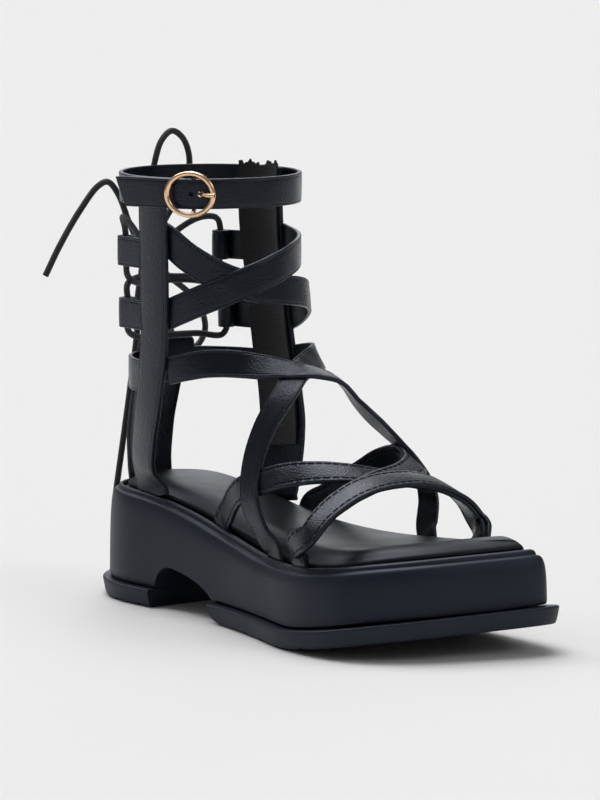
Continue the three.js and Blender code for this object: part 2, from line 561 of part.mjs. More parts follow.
const LOOPS = [
  { root: { x: 60, y: -33.4 }, eye: { x: 42.5, y: -33 }, z: 155 },
  { root: { x: 60, y: -32.6 }, eye: { x: 42.5, y: -32.4 }, z: 128 },
  { root: { x: 41, y: 30 }, eye: { x: 31.5, y: 26 }, z: 153 },
  { root: { x: 46, y: 30.6 }, eye: { x: 34, y: 27.4 }, z: 123 },
];

// ---------------------------------------------------------------- buckle
// Turns a geometry drawn along the strap (x), up (y) and outwards (z) to its place on the shoe.
function seat(point, normal, geometry) {
  const up = vec(0, 0, 1);
  const along = up.clone().cross(normal).normalize();
  const turn = new THREE.Matrix4().makeBasis(along, up, normal).setPosition(point);
  return geometry.applyMatrix4(turn);
}
const rod = (points, radius, steps) => new THREE.ExtrudeGeometry(
  new THREE.Shape().absarc(0, 0, radius, 0, Math.PI * 2, false),
  { steps, curveSegments: 4, bevelEnabled: false, extrudePath: new THREE.CatmullRomCurve3(points) },
);

const BUCKLE_TURN = -51;
const BUCKLE = { along: 10.4, up: 8.9, lift: 7.4, bar: 1.9, barLift: 2.1, dip: 8.4 };
const buckleSpot = onForm(ANKLE_U, BUCKLE_TURN);
const buckleOut = formNormal(ANKLE_U, BUCKLE_TURN).setZ(0).normalize();
const onBuckle = (geometry) => seat(buckleSpot, buckleOut, geometry);

// Oval of wire with a bar across its middle, which passes behind the strap.
function buckleFrame() {
  const mean = (BUCKLE.along + BUCKLE.up) / 2;
  const oval = new THREE.TorusGeometry(mean, WIRE / 2, 8, 24);
  oval.scale(BUCKLE.along / mean, BUCKLE.up / mean, 1).translate(0, 0, BUCKLE.lift);
  const bar = rod([
    vec(0, -BUCKLE.up, BUCKLE.lift), vec(0, -BUCKLE.up, 4.8), vec(0, -BUCKLE.dip, 3),
    vec(0, -6.8, BUCKLE.barLift), vec(0, 0, BUCKLE.barLift), vec(0, 6.8, BUCKLE.barLift),
    vec(0, BUCKLE.dip, 3), vec(0, BUCKLE.up, 4.8), vec(0, BUCKLE.up, BUCKLE.lift),
  ], BUCKLE.bar / 2, 18);
  return join(oval, bar);
}
const PRONG = 1.7;
const prongLine = [vec(2.5, 0, 2.6), vec(3.7, 0, 4.3), vec(5.6, 0, 7.4), vec(8.8, 0, 9.6), vec(11.8, 0, 9.5)];
const prongHole = onBuckle(rod([vec(2.1, 0, 1.8), ...prongLine.slice(1, 3)], PRONG / 2 + 0.5, 6));
const hole = new THREE.CylinderGeometry(1.1, 1.1, 5, 12).rotateX(Math.PI / 2);
const spareHole = onBuckle(hole.translate(0, 0, 6));

// ---------------------------------------------------------------- zip
const ZIP = { tape: 25, tapeThick: 0.9, tapeDepth: -1.3, teeth: 4.6, teethThick: 1.9, top: 191 };
const chainRows = [
 
  { ...INNER_PANEL[0], z: ZIP.top }, ...INNER_PANEL.slice(1, 6),
  { ...INNER_PANEL[6], x: 71.5, y: 29.6, z: 67.5 },
];
const chain = (width, inner, thickness, columns = 2, rows = chainRows) => band(
  rows.map((row) => ({ ...row, width })),
  { width, inner, thickness, columns, steps: 10 },
);
const roomRows = [...chainRows.slice(0, -1), { ...INNER_PANEL[6], x: 71.8, y: 28.9, z: 65.5 }];
const tapeRoom = chain(ZIP.tape + 2 * GAP, ZIP.tapeDepth - GAP, ZIP.tapeThick + 2 * GAP, 4, roomRows);
const teethRows = [...chainRows.slice(0, -1), { ...zipEnd, z: zipEnd.z + 0.8 }];
const zipChain = join(
  chain(ZIP.tape, ZIP.tapeDepth, ZIP.tapeThick, 4),
  chain(ZIP.teeth, ZIP.tapeDepth + ZIP.tapeThick / 2, ZIP.teethThick, 2, teethRows),
);

const SLIDER = { z: 168, width: 9, height: 12, under: 2.5, plate: 1.4, arch: 8.2, wire: 1 };
const panelAt = INNER_PANEL[1];
const sliderSpot = vec(panelAt.x, panelAt.y, SLIDER.z);
const sliderOut = place(panelAt).normal;
const onSlider = (geometry) => seat(sliderSpot, sliderOut, geometry);
const block = (width, height, depth, x, y, z) => (
  new THREE.BoxGeometry(width, height, depth).translate(x, y, z)
);
function zipSlider() {
  const [w, h] = [SLIDER.width / 2, SLIDER.height / 2];
  const outline = new THREE.Shape();
  outline.moveTo(-w, h - 2);
  outline.quadraticCurveTo(-w, h, -w + 2, h);
  outline.lineTo(w - 2, h);
  outline.quadraticCurveTo(w, h, w, h - 2);
  outline.lineTo(w - 1.2, -h + 1.4);
  outline.quadraticCurveTo(w - 1.6, -h, w - 3, -h);
  outline.lineTo(-w + 3, -h);
  outline.quadraticCurveTo(-w + 1.6, -h, -w + 1.2, -h + 1.4);
  const flat = { depth: SLIDER.plate, bevelEnabled: false, curveSegments: 3 };
  const plate = new THREE.ExtrudeGeometry(outline, flat);
  const face = SLIDER.under + SLIDER.plate;
  const tall = SLIDER.arch - face + 0.2;
  const leg = (y) => block(2, SLIDER.wire, tall, 0, y, face - 0.2 + tall / 2);
  return join(
    plate.translate(0, 0, SLIDER.under),
    block(2.4, 7, 1, 0, 0, SLIDER.under - 0.3),
    leg(-4.5),
    leg(4.5),
    block(2, 10, SLIDER.wire, 0, 0, SLIDER.arch - SLIDER.wire / 2),
  );
}
// Tab that hangs from the slider's arch and swings about its crossbar.
const PULL = { y: -2.6, z: 5.4, width: 6.4, thick: 1, length: 17 };
function zipPull() {
  const tab = new THREE.Shape();
  const [w, top, low] = [PULL.width / 2, -4.4, -4.4 - PULL.length];
  tab.moveTo(-w, top);
  tab.lineTo(-w, low + 2);
  tab.quadraticCurveTo(-w, low, -w + 2, low);
  tab.lineTo(w - 2, low);
  tab.quadraticCurveTo(w, low, w, low + 2);
  tab.lineTo(w, top);
  const body = new THREE.ExtrudeGeometry(tab, { depth: PULL.thick, bevelEnabled: false, curveSegments: 3 });
  const bar = new THREE.CylinderGeometry(0.7, 0.7, PULL.width, 10).rotateZ(Math.PI / 2);
  const arm = (x) => block(1.7, 5.6, PULL.thick, x, -2.2, 0);
  return join(body.translate(0, 0, -PULL.thick / 2), bar, arm(-w + 0.85), arm(w - 0.85))
    .translate(0, PULL.y, PULL.z);
}

// ---------------------------------------------------------------- lace
// Route of the lace behind the ankle, from the knot through the four loops and back.
const KNOT = { x: 15, y: 0, z: 149, size: 4.4 };
const toOuterThenInner = [
  { x: 17.6, y: -5, z: 152 }, { x: 22, y: -13, z: 160 }, { x: 29, y: -23.4, z: 167 },
  { x: 37, y: -31, z: 168.4 },
  { x: 41.6, y: -33, z: 164.6 }, { x: 42.5, y: -33, z: 158 }, { x: 42.5, y: -33, z: 150 },
  { x: 41.6, y: -32, z: 144.4 }, { x: 36, y: -23, z: 139.6 }, { x: 27, y: -3, z: 138.6 },
  { x: 28.4, y: 14, z: 137.6 }, { x: 32, y: 24.6, z: 134.6 }, { x: 34, y: 27.4, z: 129 },
  { x: 34, y: 27.4, z: 120 },
];
const toInnerThenOuter = [
  { x: 16, y: 5.6, z: 152 }, { x: 18, y: 13, z: 159.6 }, { x: 24, y: 21.4, z: 165 },
  { x: 29.6, y: 25.4, z: 164.6 },
  { x: 31.5, y: 26, z: 159 }, { x: 31.5, y: 26, z: 148 }, { x: 30.4, y: 23.6, z: 142.4 },
  { x: 27, y: 12, z: 139.6 }, { x: 26.4, y: -3, z: 140.4 }, { x: 34, y: -22, z: 141.4 },
  { x: 40.6, y: -31.4, z: 139 }, { x: 42.5, y: -32.4, z: 133.6 }, { x: 42.5, y: -32.4, z: 123 },
];
const lowBar = [
  { x: 42.5, y: -32.4, z: 125 }, { x: 42.5, y: -32.4, z: 120.4 }, { x: 38, y: -24, z: 116 },
  { x: 31, y: -3, z: 114.8 }, { x: 30.6, y: 14, z: 114.2 }, { x: 33, y: 25.4, z: 113 },
  { x: 34, y: 27.4, z: 116.2 }, { x: 34, y: 27.4, z: 121 },
];
const cord = (rows, steps) => rod(rows.map((row) => vec(row.x, row.y, row.z)), LACE / 2, steps);
const crossings = join(cord(toOuterThenInner, 30), cord(toInnerThenOuter, 28), cord(lowBar, 15));

const knotShape = new THREE.SphereGeometry(KNOT.size, 10, 6)
  .scale(0.8, 1, 0.8)
  .translate(KNOT.x, KNOT.y, KNOT.z);
const CORDS = {
  lace_loop_upper: [
    { x: 14.6, y: -1.9, z: 153.4 }, { x: 14, y: -1.6, z: 168 }, { x: 14, y: 2.4, z: 188 },
    { x: 14, y: 6.6, z: 199 }, { x: 14, y: 12.2, z: 203 }, { x: 14, y: 18.6, z: 199 },
    { x: 14, y: 21.8, z: 188 }, { x: 13.4, y: 16, z: 174 }, { x: 13, y: 8, z: 162 },
    { x: 14, y: 2.6, z: 154 },
  ],
  lace_loop_lower: [
    { x: 12.6, y: 3.6, z: 145.6 }, { x: 11, y: 12.4, z: 138 }, { x: 10, y: 23.8, z: 130 },
    { x: 10, y: 31.4, z: 121 }, { x: 10, y: 33, z: 112 }, { x: 10, y: 28, z: 105.4 },
    { x: 11, y: 18, z: 108 }, { x: 12, y: 9, z: 121 }, { x: 13.4, y: 3.4, z: 134 },
    { x: 14.6, y: 0.8, z: 144.6 },
  ],
  lace_end_outer: [
    { x: 13.6, y: -4.6, z: 151.6 }, { x: 12, y: -9.6, z: 163 }, { x: 10, y: -14.6, z: 176.6 },
    { x: 7, y: -17.6, z: 181.4 }, { x: 4, y: -20.6, z: 179.6 }, { x: 0, y: -27.6, z: 169 },
    { x: -4, y: -35.8, z: 153.6 }, { x: -8, y: -41, z: 140 },
  ],
  lace_end_back: [
    { x: 12, y: -2.4, z: 145 }, { x: 7, y: -1.6, z: 130 }, { x: 4, y: 0, z: 114 }, { x: 1, y: -1.2, z: 92 },
    { x: -2, y: -3.4, z: 66 }, { x: -4.4, y: -5, z: 47 }, { x: -5.6, y: -6, z: 36 },
  ],
};

// ---------------------------------------------------------------- nodes of the upper
const straps = join(...bands, foldTop, innerPanel, ankleStrap, ...LOOPS.map(laceLoop));
addPiece('upper', clean(cut(straps, tapeRoom, prongHole, spareHole)), LEATHER);
addPiece('buckle_frame', onBuckle(buckleFrame()), GOLD);
addPiece('buckle_prong', onBuckle(rod(prongLine, PRONG / 2, 8)), GOLD);
addPiece('zip_chain', zipChain, CLOTH);
addPiece('zip_slider', onSlider(zipSlider()), METAL);
addPiece('zip_pull', onSlider(zipPull()), METAL);
addPiece('lace_crossings', crossings, CORD);
addPiece('lace_knot', knotShape, CORD);
for (const [name, rows] of Object.entries(CORDS)) addPiece(name, cord(rows, rows.length * 2), CORD);

// ---------------------------------------------------------------- placing the shoe
// The origin lies on the floor, under the middle of the shoe's length and width. The free lace is
// left out of that measure.
const box = new THREE.Box3();
for (const mesh of shoe.children) {
  if (mesh.name !== 'lace_knot' && !(mesh.name in CORDS)) box.expandByObject(mesh);
}
const middle = box.getCenter(vec());
shoe.position.set(-middle.x, -middle.y, 0);

export default shoe;
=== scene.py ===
# %% [markdown]
# A gladiator sandal is a cage of leather straps on a thick moulded sole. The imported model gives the
# true sizes, and this lesson lays finely shaped pieces over it: a sole with soft rims, a cushioned
# insole, straps with folded edges, a buckle, a zip and a round lace.

# %% Load the fixed frame
import json
import math

import bpy
from mathutils import Matrix, Vector

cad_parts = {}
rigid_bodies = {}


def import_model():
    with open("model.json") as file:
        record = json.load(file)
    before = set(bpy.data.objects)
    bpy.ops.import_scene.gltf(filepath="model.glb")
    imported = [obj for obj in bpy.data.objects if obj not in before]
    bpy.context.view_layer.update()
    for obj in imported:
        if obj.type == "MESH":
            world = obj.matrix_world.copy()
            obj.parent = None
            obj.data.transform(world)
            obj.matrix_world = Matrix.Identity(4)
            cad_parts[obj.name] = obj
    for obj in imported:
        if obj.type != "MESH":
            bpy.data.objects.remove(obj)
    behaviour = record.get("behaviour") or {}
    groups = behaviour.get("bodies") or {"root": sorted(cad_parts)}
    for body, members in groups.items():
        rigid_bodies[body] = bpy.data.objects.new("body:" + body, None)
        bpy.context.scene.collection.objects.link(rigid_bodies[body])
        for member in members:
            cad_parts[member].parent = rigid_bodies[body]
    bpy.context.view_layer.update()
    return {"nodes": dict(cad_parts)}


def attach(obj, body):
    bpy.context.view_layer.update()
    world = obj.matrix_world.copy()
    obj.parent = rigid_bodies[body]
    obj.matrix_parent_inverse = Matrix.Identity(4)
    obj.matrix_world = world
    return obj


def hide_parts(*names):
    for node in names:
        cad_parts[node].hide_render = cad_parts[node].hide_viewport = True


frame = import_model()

BODY = "sandal"
MM = 0.001

# %% [markdown]
# All stations are measured from the back of the heel in millimetres, as a last maker does. One
# function turns a station into a place in the model, so the tables below stay easy to read.

# %% Stations to model space
HEEL_TO_ORIGIN = Vector((-124.798, 0.543, 0))


def station(x, y, z):
    return (Vector((x, y, z)) + HEEL_TO_ORIGIN) * MM


def placed(name, data):
    made = bpy.data.objects.new(name, data)
    bpy.context.scene.collection.objects.link(made)
    return made


# %% [markdown]
# A long lens from some two metres away keeps the shoe's sides nearly parallel, as in a catalogue.
# The camera stands on the outer side, a little in front, and looks slightly down.

# %% Camera
camera_data = bpy.data.cameras.new("catalogue_camera")
camera_data.lens = 215.1
camera_data.sensor_width = 36
camera_data.clip_end = 20
camera = placed("catalogue_camera", camera_data)
camera.location = (1.6025, -1.2264, 0.3633)
aim = Vector((-0.0130, 0.0094, 0.0933)) - camera.location
camera.rotation_euler = aim.to_track_quat("-Z", "Y").to_euler()
bpy.context.scene.camera = camera

# %% [markdown]
# Materials are built from nodes. One helper adds a node with its settings and links, so each recipe
# reads like a list. Colours are given as the eye knows them, in hex, and turned to linear light.

# %% Material helpers
def linear(hex_code):
    parts = [int(hex_code[i:i + 2], 16) / 255 for i in (1, 3, 5)]
    curve = [c / 12.92 if c <= 0.04045 else ((c + 0.055) / 1.055) ** 2.4 for c in parts]
    return (*curve, 1)


def fill(tree, made, **inputs):
    """Sets or links a node's inputs by name, or by number as i0, i1 and so on."""
    for key, value in inputs.items():
        number = key[1:] if key[0] == "i" else ""
        socket = made.inputs[int(number) if number.isdigit() else key.replace("_", " ")]
        if isinstance(value, bpy.types.Node):
            value = value.outputs[0]
        if isinstance(value, bpy.types.NodeSocket):
            tree.links.new(value, socket)
        else:
            socket.default_value = value


def node(tree, kind, settings=None, **inputs):
    made = tree.nodes.new(kind)
    for key, value in (settings or {}).items():
        setattr(made, key, value)
    fill(tree, made, **inputs)
    return made


def new_material(name):
    material = bpy.data.materials.new(name)
    material.use_nodes = True
    tree = material.node_tree
    tree.nodes.clear()
    output = tree.nodes.new("ShaderNodeOutputMaterial")
    shader = tree.nodes.new("ShaderNodeBsdfPrincipled")
    tree.links.new(shader.outputs[0], output.inputs[0])
    return material, tree, shader


def bump(tree, shader, *layers):
    below = {}
    for height, distance, strength in layers:
        made = node(tree, "ShaderNodeBump", Height=height, Distance=distance, Strength=strength, **below)
        below = {"Normal": made}
    fill(tree, shader, **below)


# %% [markdown]
# Calf leather with a pigmented finish: nearly black, with pores pressed in by the plate that
# grained it. They are drawn 0.9 mm apart, coarser than the real 0.5 mm, so that they show. Wax
# leaves the roughness uneven in soft clouds. Each strap is folded over at both edges, and a thin
# paler line painted along each edge is a painted highlight where the fold catches the light. The
# straps' UV map holds real metres, u along the strap and v in from the nearer edge, so these
# lines keep their distance.

# %% Strap leather
COOL_SHINE = (0.76, 0.85, 1, 1)  # wax with a trace of blue dye


def strap_leather(name, stitched=False):
    material, tree, shader = new_material(name)
    places = node(tree, "ShaderNodeTexCoord")
    place = places.outputs["Object"]
    along, inward, _ = node(tree, "ShaderNodeSeparateXYZ", i0=places.outputs["UV"]).outputs
    clouds = node(tree, "ShaderNodeTexNoise", Vector=place, Scale=70, Detail=4, Roughness=0.6)
    pores = node(tree, "ShaderNodeTexVoronoi", Vector=place, Scale=1100, Randomness=0.9)
    creases = node(tree, "ShaderNodeTexNoise", Vector=place, Scale=800, Detail=4, Roughness=0.6)
    # painted highlight along the folded edge: full at the very edge and gone three quarters of a millimetre
    # in
    edge_highlight = node(tree, "ShaderNodeMapRange", i0=inward, i1=0.0001, i2=0.00075, i3=1, i4=0)
    tone = node(tree, "ShaderNodeMixRGB", i0=clouds, i1=linear("#080a10"), i2=linear("#0e111a"))
    # the painted highlight: a paler tone laid along each folded edge
    tone = node(tree, "ShaderNodeMixRGB", i0=edge_highlight, i1=tone, i2=linear("#191b23"))
    gloss = node(tree, "ShaderNodeMapRange", i0=clouds, i1=0.3, i2=0.7, i3=0.25, i4=0.36)
    layers = [(clouds, 0.0003, 0.14), (creases, 0.0001, 0.55), (pores, 0.00016, 0.75)]
    if stitched:
        # matt stitches 2.6 mm long and 1 mm apart, 1.8 mm in from the edge, sunk into the leather;
        # their near-black colour is painted shade round the sunk thread
        beat = node(tree, "ShaderNodeMath", {"operation": "PINGPONG"}, i0=along, i1=0.0018)
        long = node(tree, "ShaderNodeMapRange", i0=beat, i1=0.0004, i2=0.0006, i3=0, i4=1)
        off = node(tree, "ShaderNodeMath", {"operation": "SUBTRACT"}, i0=inward, i1=0.0018)
        away = node(tree, "ShaderNodeMath", {"operation": "ABSOLUTE"}, i0=off)
        thin = node(tree, "ShaderNodeMapRange", i0=away, i1=0.00035, i2=0.0006, i3=1, i4=0)
        stitch_and_shade = node(tree, "ShaderNodeMath", {"operation": "MULTIPLY"}, i0=long, i1=thin)
        ditch = node(tree, "ShaderNodeMath", {"operation": "SUBTRACT"}, i0=1.0, i1=stitch_and_shade)
        # painted shade: the stitches are drawn near black where the thread sinks into the leather
        tone = node(tree, "ShaderNodeMixRGB", i0=stitch_and_shade, i1=tone, i2=linear("#020203"))
        gloss = node(tree, "ShaderNodeMixRGB", i0=stitch_and_shade, i1=gloss, i2=(1, 1, 1, 1))
        layers.append((ditch, 0.0006, 1))
    fill(tree, shader, Base_Color=tone, Roughness=gloss, IOR=1.5, Specular_Tint=COOL_SHINE,
         Specular_IOR_Level=0.34, Coat_Weight=0.06, Coat_Roughness=0.25)
    bump(tree, shader, *layers)
    return material


LEATHER = strap_leather("pigmented_calf_leather")
STITCHED = strap_leather("pigmented_calf_leather_stitched", stitched=True)

# %% [markdown]
# The insole is wrapped in a smoother, softer lining leather. The light rolls over its cushion in
# broad patches, so its pores are faint and its roughness varies slowly from place to place.

# %% Insole leather
def insole_leather():
    material, tree, shader = new_material("lining_leather")
    place = node(tree, "ShaderNodeTexCoord").outputs["Object"]
    clouds = node(tree, "ShaderNodeTexNoise", Vector=place, Scale=34, Detail=3, Roughness=0.5)
    pores = node(tree, "ShaderNodeTexVoronoi", Vector=place, Scale=1300)
    wrinkles = node(tree, "ShaderNodeTexNoise", Vector=place, Scale=190, Detail=6, Roughness=0.62)
    colour = node(tree, "ShaderNodeMixRGB", i0=clouds, i1=linear("#07080b"), i2=linear("#0c0d12"))
    gloss = node(tree, "ShaderNodeMapRange", i0=clouds, i1=0.3, i2=0.7, i3=0.38, i4=0.5)
    fill(tree, shader, Base_Color=colour, Roughness=gloss, IOR=1.5, Specular_Tint=COOL_SHINE,
         Specular_IOR_Level=0.26)
    bump(tree, shader, (clouds, 0.0012, 0.3), (wrinkles, 0.00022, 0.35), (pores, 0.00005, 0.5))
    return material


INSOLE_LEATHER = insole_leather()

# %% [markdown]
# Both soles are moulded: the midsole in light foam rubber, the outsole in denser rubber, a shade
# paler. A blasted mould leaves an even matt skin. Its grain is drawn 0.7 to 0.8 mm wide, coarser
# than the real 0.3 mm.

# %% Moulded rubbers
def moulded_rubber(name, dark, pale, rough, grain):
    material, tree, shader = new_material(name)
    place = node(tree, "ShaderNodeTexCoord").outputs["Object"]
    clouds = node(tree, "ShaderNodeTexNoise", Vector=place, Scale=26, Detail=3, Roughness=0.55)
    skin = node(tree, "ShaderNodeTexNoise", Vector=place, Scale=grain, Detail=3, Roughness=0.7)
    specks = node(tree, "ShaderNodeTexVoronoi", Vector=place, Scale=grain * 0.8)
    colour = node(tree, "ShaderNodeMixRGB", i0=clouds, i1=linear(dark), i2=linear(pale))
    gloss = node(tree, "ShaderNodeMapRange", i0=skin, i1=0.25, i2=0.75, i3=rough - 0.05, i4=rough + 0.07)
    fill(tree, shader, Base_Color=colour, Roughness=gloss, IOR=1.52, Specular_Tint=COOL_SHINE,
         Specular_IOR_Level=0.36)
    bump(tree, shader, (skin, 0.00016, 0.4), (specks, 0.00008, 0.4))
    return material


MIDSOLE_RUBBER = moulded_rubber("moulded_foam_rubber", "#0e121c", "#141926", 0.46, 1500)
OUTSOLE_RUBBER = moulded_rubber("moulded_outsole_rubber", "#0e121c", "#161b28", 0.5, 1200)

# %% [markdown]
# The buckle is cast zinc with a thin plate of rose gold, tumbled until it shines. The slider and
# its pull are the same casting in a dark plate. Small scratches vary the roughness.

# %% Plated metals
def plated(name, colour_hex, rough):
    material, tree, shader = new_material(name)
    place = node(tree, "ShaderNodeTexCoord").outputs["Object"]
    wear = node(tree, "ShaderNodeTexNoise", Vector=place, Scale=620, Detail=4, Roughness=0.7)
    gloss = node(tree, "ShaderNodeMapRange", i0=wear, i1=0.3, i2=0.7, i3=rough * 0.8, i4=rough * 1.4)
    fill(tree, shader, Base_Color=linear(colour_hex), Metallic=1, Roughness=gloss)
    bump(tree, shader, (wear, 0.00004, 0.25))
    return material


ROSE_GOLD = plated("rose_gold_plate", "#f0c8a0", 0.2)
DARK_PLATE = plated("dark_nickel_plate", "#4a4b52", 0.34)

# %% [markdown]
# The zip's tape is polyester with ribs 0.9 mm apart, and its teeth are moulded nylon. The lace is
# a round waxed cord, laid from strands 0.9 mm wide that wind round it at a slant.

# %% Cloth, nylon and cord
def zip_tape():
    material, tree, shader = new_material("polyester_tape")
    place = node(tree, "ShaderNodeTexCoord").outputs["Object"]
    ribs = node(tree, "ShaderNodeTexWave", {"bands_direction": "Z"}, Vector=place, Scale=350, Distortion=0.6)
    fuzz = node(tree, "ShaderNodeTexNoise", Vector=place, Scale=2200, Detail=2)
    colour = node(tree, "ShaderNodeMixRGB", i0=ribs, i1=linear("#0b0c0f"), i2=linear("#17181d"))
    fill(tree, shader, Base_Color=colour, Roughness=0.85, Sheen_Weight=0.15)
    bump(tree, shader, (ribs, 0.00018, 0.6), (fuzz, 0.0001, 0.5))
    return material


def nylon():
    material, tree, shader = new_material("moulded_nylon")
    place = node(tree, "ShaderNodeTexCoord").outputs["Object"]
    skin = node(tree, "ShaderNodeTexNoise", Vector=place, Scale=900, Detail=2)
    gloss = node(tree, "ShaderNodeMapRange", i0=skin, i1=0.3, i2=0.7, i3=0.34, i4=0.5)
    fill(tree, shader, Base_Color=linear("#16171b"), Roughness=gloss)
    bump(tree, shader, (skin, 0.00005, 0.4))
    return material


def waxed_cord():
    material, tree, shader = new_material("waxed_cord")
    flat = node(tree, "ShaderNodeTexCoord").outputs["UV"]
    turned = node(tree, "ShaderNodeMapping", Vector=flat, Rotation=(0, 0, 0.7), Scale=(1000, 1000, 1))
    strands = node(tree, "ShaderNodeTexWave", Vector=turned, Scale=0.36, Distortion=0.4)
    fuzz = node(tree, "ShaderNodeTexNoise", Vector=turned, Scale=3, Detail=3)
    colour = node(tree, "ShaderNodeMixRGB", i0=strands, i1=linear("#0d0e12"), i2=linear("#22242c"))
    fill(tree, shader, Base_Color=colour, Roughness=0.62, Sheen_Weight=0.1)
    bump(tree, shader, (strands, 0.00025, 0.7), (fuzz, 0.0001, 0.5))
    return material


TAPE, NYLON, CORD = zip_tape(), nylon(), waxed_cord()

# %% [markdown]
# Every new piece starts as a primitive with nothing else selected, is shaped, and then rides on the
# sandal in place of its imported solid. These helpers keep those steps the same for all pieces.

# %% Modelling helpers
def nothing_selected():
    if bpy.context.object and bpy.context.object.mode != "OBJECT":
        bpy.ops.object.mode_set(mode="OBJECT")
    bpy.ops.object.select_all(action="DESELECT")


def named(name):
    made = bpy.context.object
    made.name = made.data.name = name
    return made


def use(piece):
    nothing_selected()
    piece.select_set(True)
    bpy.context.view_layer.objects.active = piece


def modify(piece, kind, **settings):
    use(piece)
    bpy.ops.object.modifier_add(type=kind)
    modifier = piece.modifiers[-1]
    for key, value in settings.items():
        setattr(modifier, key, value)
    bpy.ops.object.modifier_apply(modifier=modifier.name)


def rounded(piece, levels):
    modify(piece, "SUBSURF", levels=levels, render_levels=levels)


def facing_out(piece):
    use(piece)
    bpy.ops.object.mode_set(mode="EDIT")
    bpy.ops.mesh.select_all(action="SELECT")
    bpy.ops.mesh.remove_doubles(threshold=1e-6)
    bpy.ops.mesh.normals_make_consistent(inside=False)
    bpy.ops.object.mode_set(mode="OBJECT")


def smooth(piece, angle=None):
    use(piece)
    if angle is None:
        bpy.ops.object.shade_smooth()
    else:
        bpy.ops.object.shade_smooth_by_angle(angle=math.radians(angle))


def joined(name, pieces):
    use(pieces[0])
    for other in pieces[1:]:
        other.select_set(True)
    bpy.ops.object.join()
    return named(name)


def finished(piece, material, node_name):
    piece.data.materials.clear()
    piece.data.materials.append(material)
    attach(piece, BODY)
    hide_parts(node_name)
    print(piece.name, len(piece.data.polygons), "faces")


# %% [markdown]
# The free ends of the lace are the first shapes, because they reach furthest. A round cord is drawn
# as one smooth line, given its thickness, and turned into a mesh whose UV map is stretched to real
# metres, so that the strands wind with the same pitch on a short end and on a long loop.

# %% Lace
LACE = 2.8


def curve_at(points, t):
    """Place at share t of a centripetal curve through the points."""
    last = len(points) - 1
    k = min(int(last * t), last - 1)
    w = last * t - k
    b, c = points[k], points[k + 1]
    a = points[k - 1] if k > 0 else b * 2 - c
    d = points[k + 2] if k < last - 1 else c * 2 - b
    da, db, dc = ((q - p).length ** 0.5 or 1e-9 for p, q in ((a, b), (b, c), (c, d)))
    leave = ((b - a) / da - (c - a) / (da + db) + (c - b) / db) * db
    enter = ((c - b) / db - (d - b) / (db + dc) + (d - c) / dc) * db
    bend = (c - b) * 3 - leave * 2 - enter
    return b + leave * w + bend * w ** 2 + ((b - c) * 2 + leave + enter) * w ** 3


def smooth_line(points, steps):
    dense = [curve_at(points, i / 400) for i in range(401)]
    return evenly(dense, steps)


def evenly(dense, steps):
    runs = [0]
    for a, b in zip(dense, dense[1:]):
        runs.append(runs[-1] + (b - a).length)
    out, k = [], 0
    for i in range(steps + 1):
        want = runs[-1] * i / steps
        while k < len(dense) - 2 and runs[k + 1] < want:
            k += 1
        share = (want - runs[k]) / max(runs[k + 1] - runs[k], 1e-12)
        out.append(dense[k].lerp(dense[k + 1], min(max(share, 0), 1)))
    return out


def line_length(line):
    return sum((b - a).length for a, b in zip(line, line[1:]))


def round_cord(name, line, diameter):
    curve = bpy.data.curves.new(name, "CURVE")
    curve.dimensions = "3D"
    curve.bevel_depth = diameter / 2
    curve.bevel_resolution = 4
    curve.use_fill_caps = True
    spline = curve.splines.new("POLY")
    spline.points.add(len(line) - 1)
    for point, place in zip(spline.points, line):
        point.co = (*place, 1)
    use(placed(name, curve))
    bpy.ops.object.convert(target="MESH")
    piece = named(name)
    size = (line_length(line), math.pi * diameter)
    layer = piece.data.uv_layers.active or piece.data.uv_layers.new(name="UVMap")
    for corner in layer.data:
        corner.uv = (corner.uv[0] * size[0], corner.uv[1] * size[1])
    smooth(piece, 50)
    return piece


LACE_ROUTES = {
    "lace_loop_upper": [
        (14.6, -1.9, 153.4), (14, -1.6, 168), (14, 2.4, 188), (14, 6.6, 199), (14, 12.2, 203),
        (14, 18.6, 199), (14, 21.8, 188), (13.4, 16, 174), (13, 8, 162), (14, 2.6, 154),
    ],
    "lace_loop_lower": [
        (12.6, 3.6, 145.6), (11, 12.4, 138), (10, 23.8, 130), (10, 31.4, 121), (10, 33, 112),
        (10, 28, 105.4), (11, 18, 108), (12, 9, 121), (13.4, 3.4, 134), (14.6, 0.8, 144.6),
    ],
    "lace_end_outer": [
        (13.6, -4.6, 151.6), (12, -9.6, 163), (10, -14.6, 176.6), (7, -17.6, 181.4),
        (4, -20.6, 179.6), (0, -27.6, 169), (-4, -35.8, 153.6), (-8, -41, 140),
    ],
    "lace_end_back": [
        (12, -2.4, 145), (7, -1.6, 130), (4, 0, 114), (1, -1.2, 92), (-2, -3.4, 66),
        (-4.4, -5, 47), (-5.6, -6, 36),
    ],
}
for cord_name, route in LACE_ROUTES.items():
    line = smooth_line([station(*p) for p in route], 90)
    piece = round_cord(cord_name + "_cord", line, LACE * MM)
    finished(piece, CORD, cord_name)
    print(cord_name, round(line_length(line) * 1000), "mm")

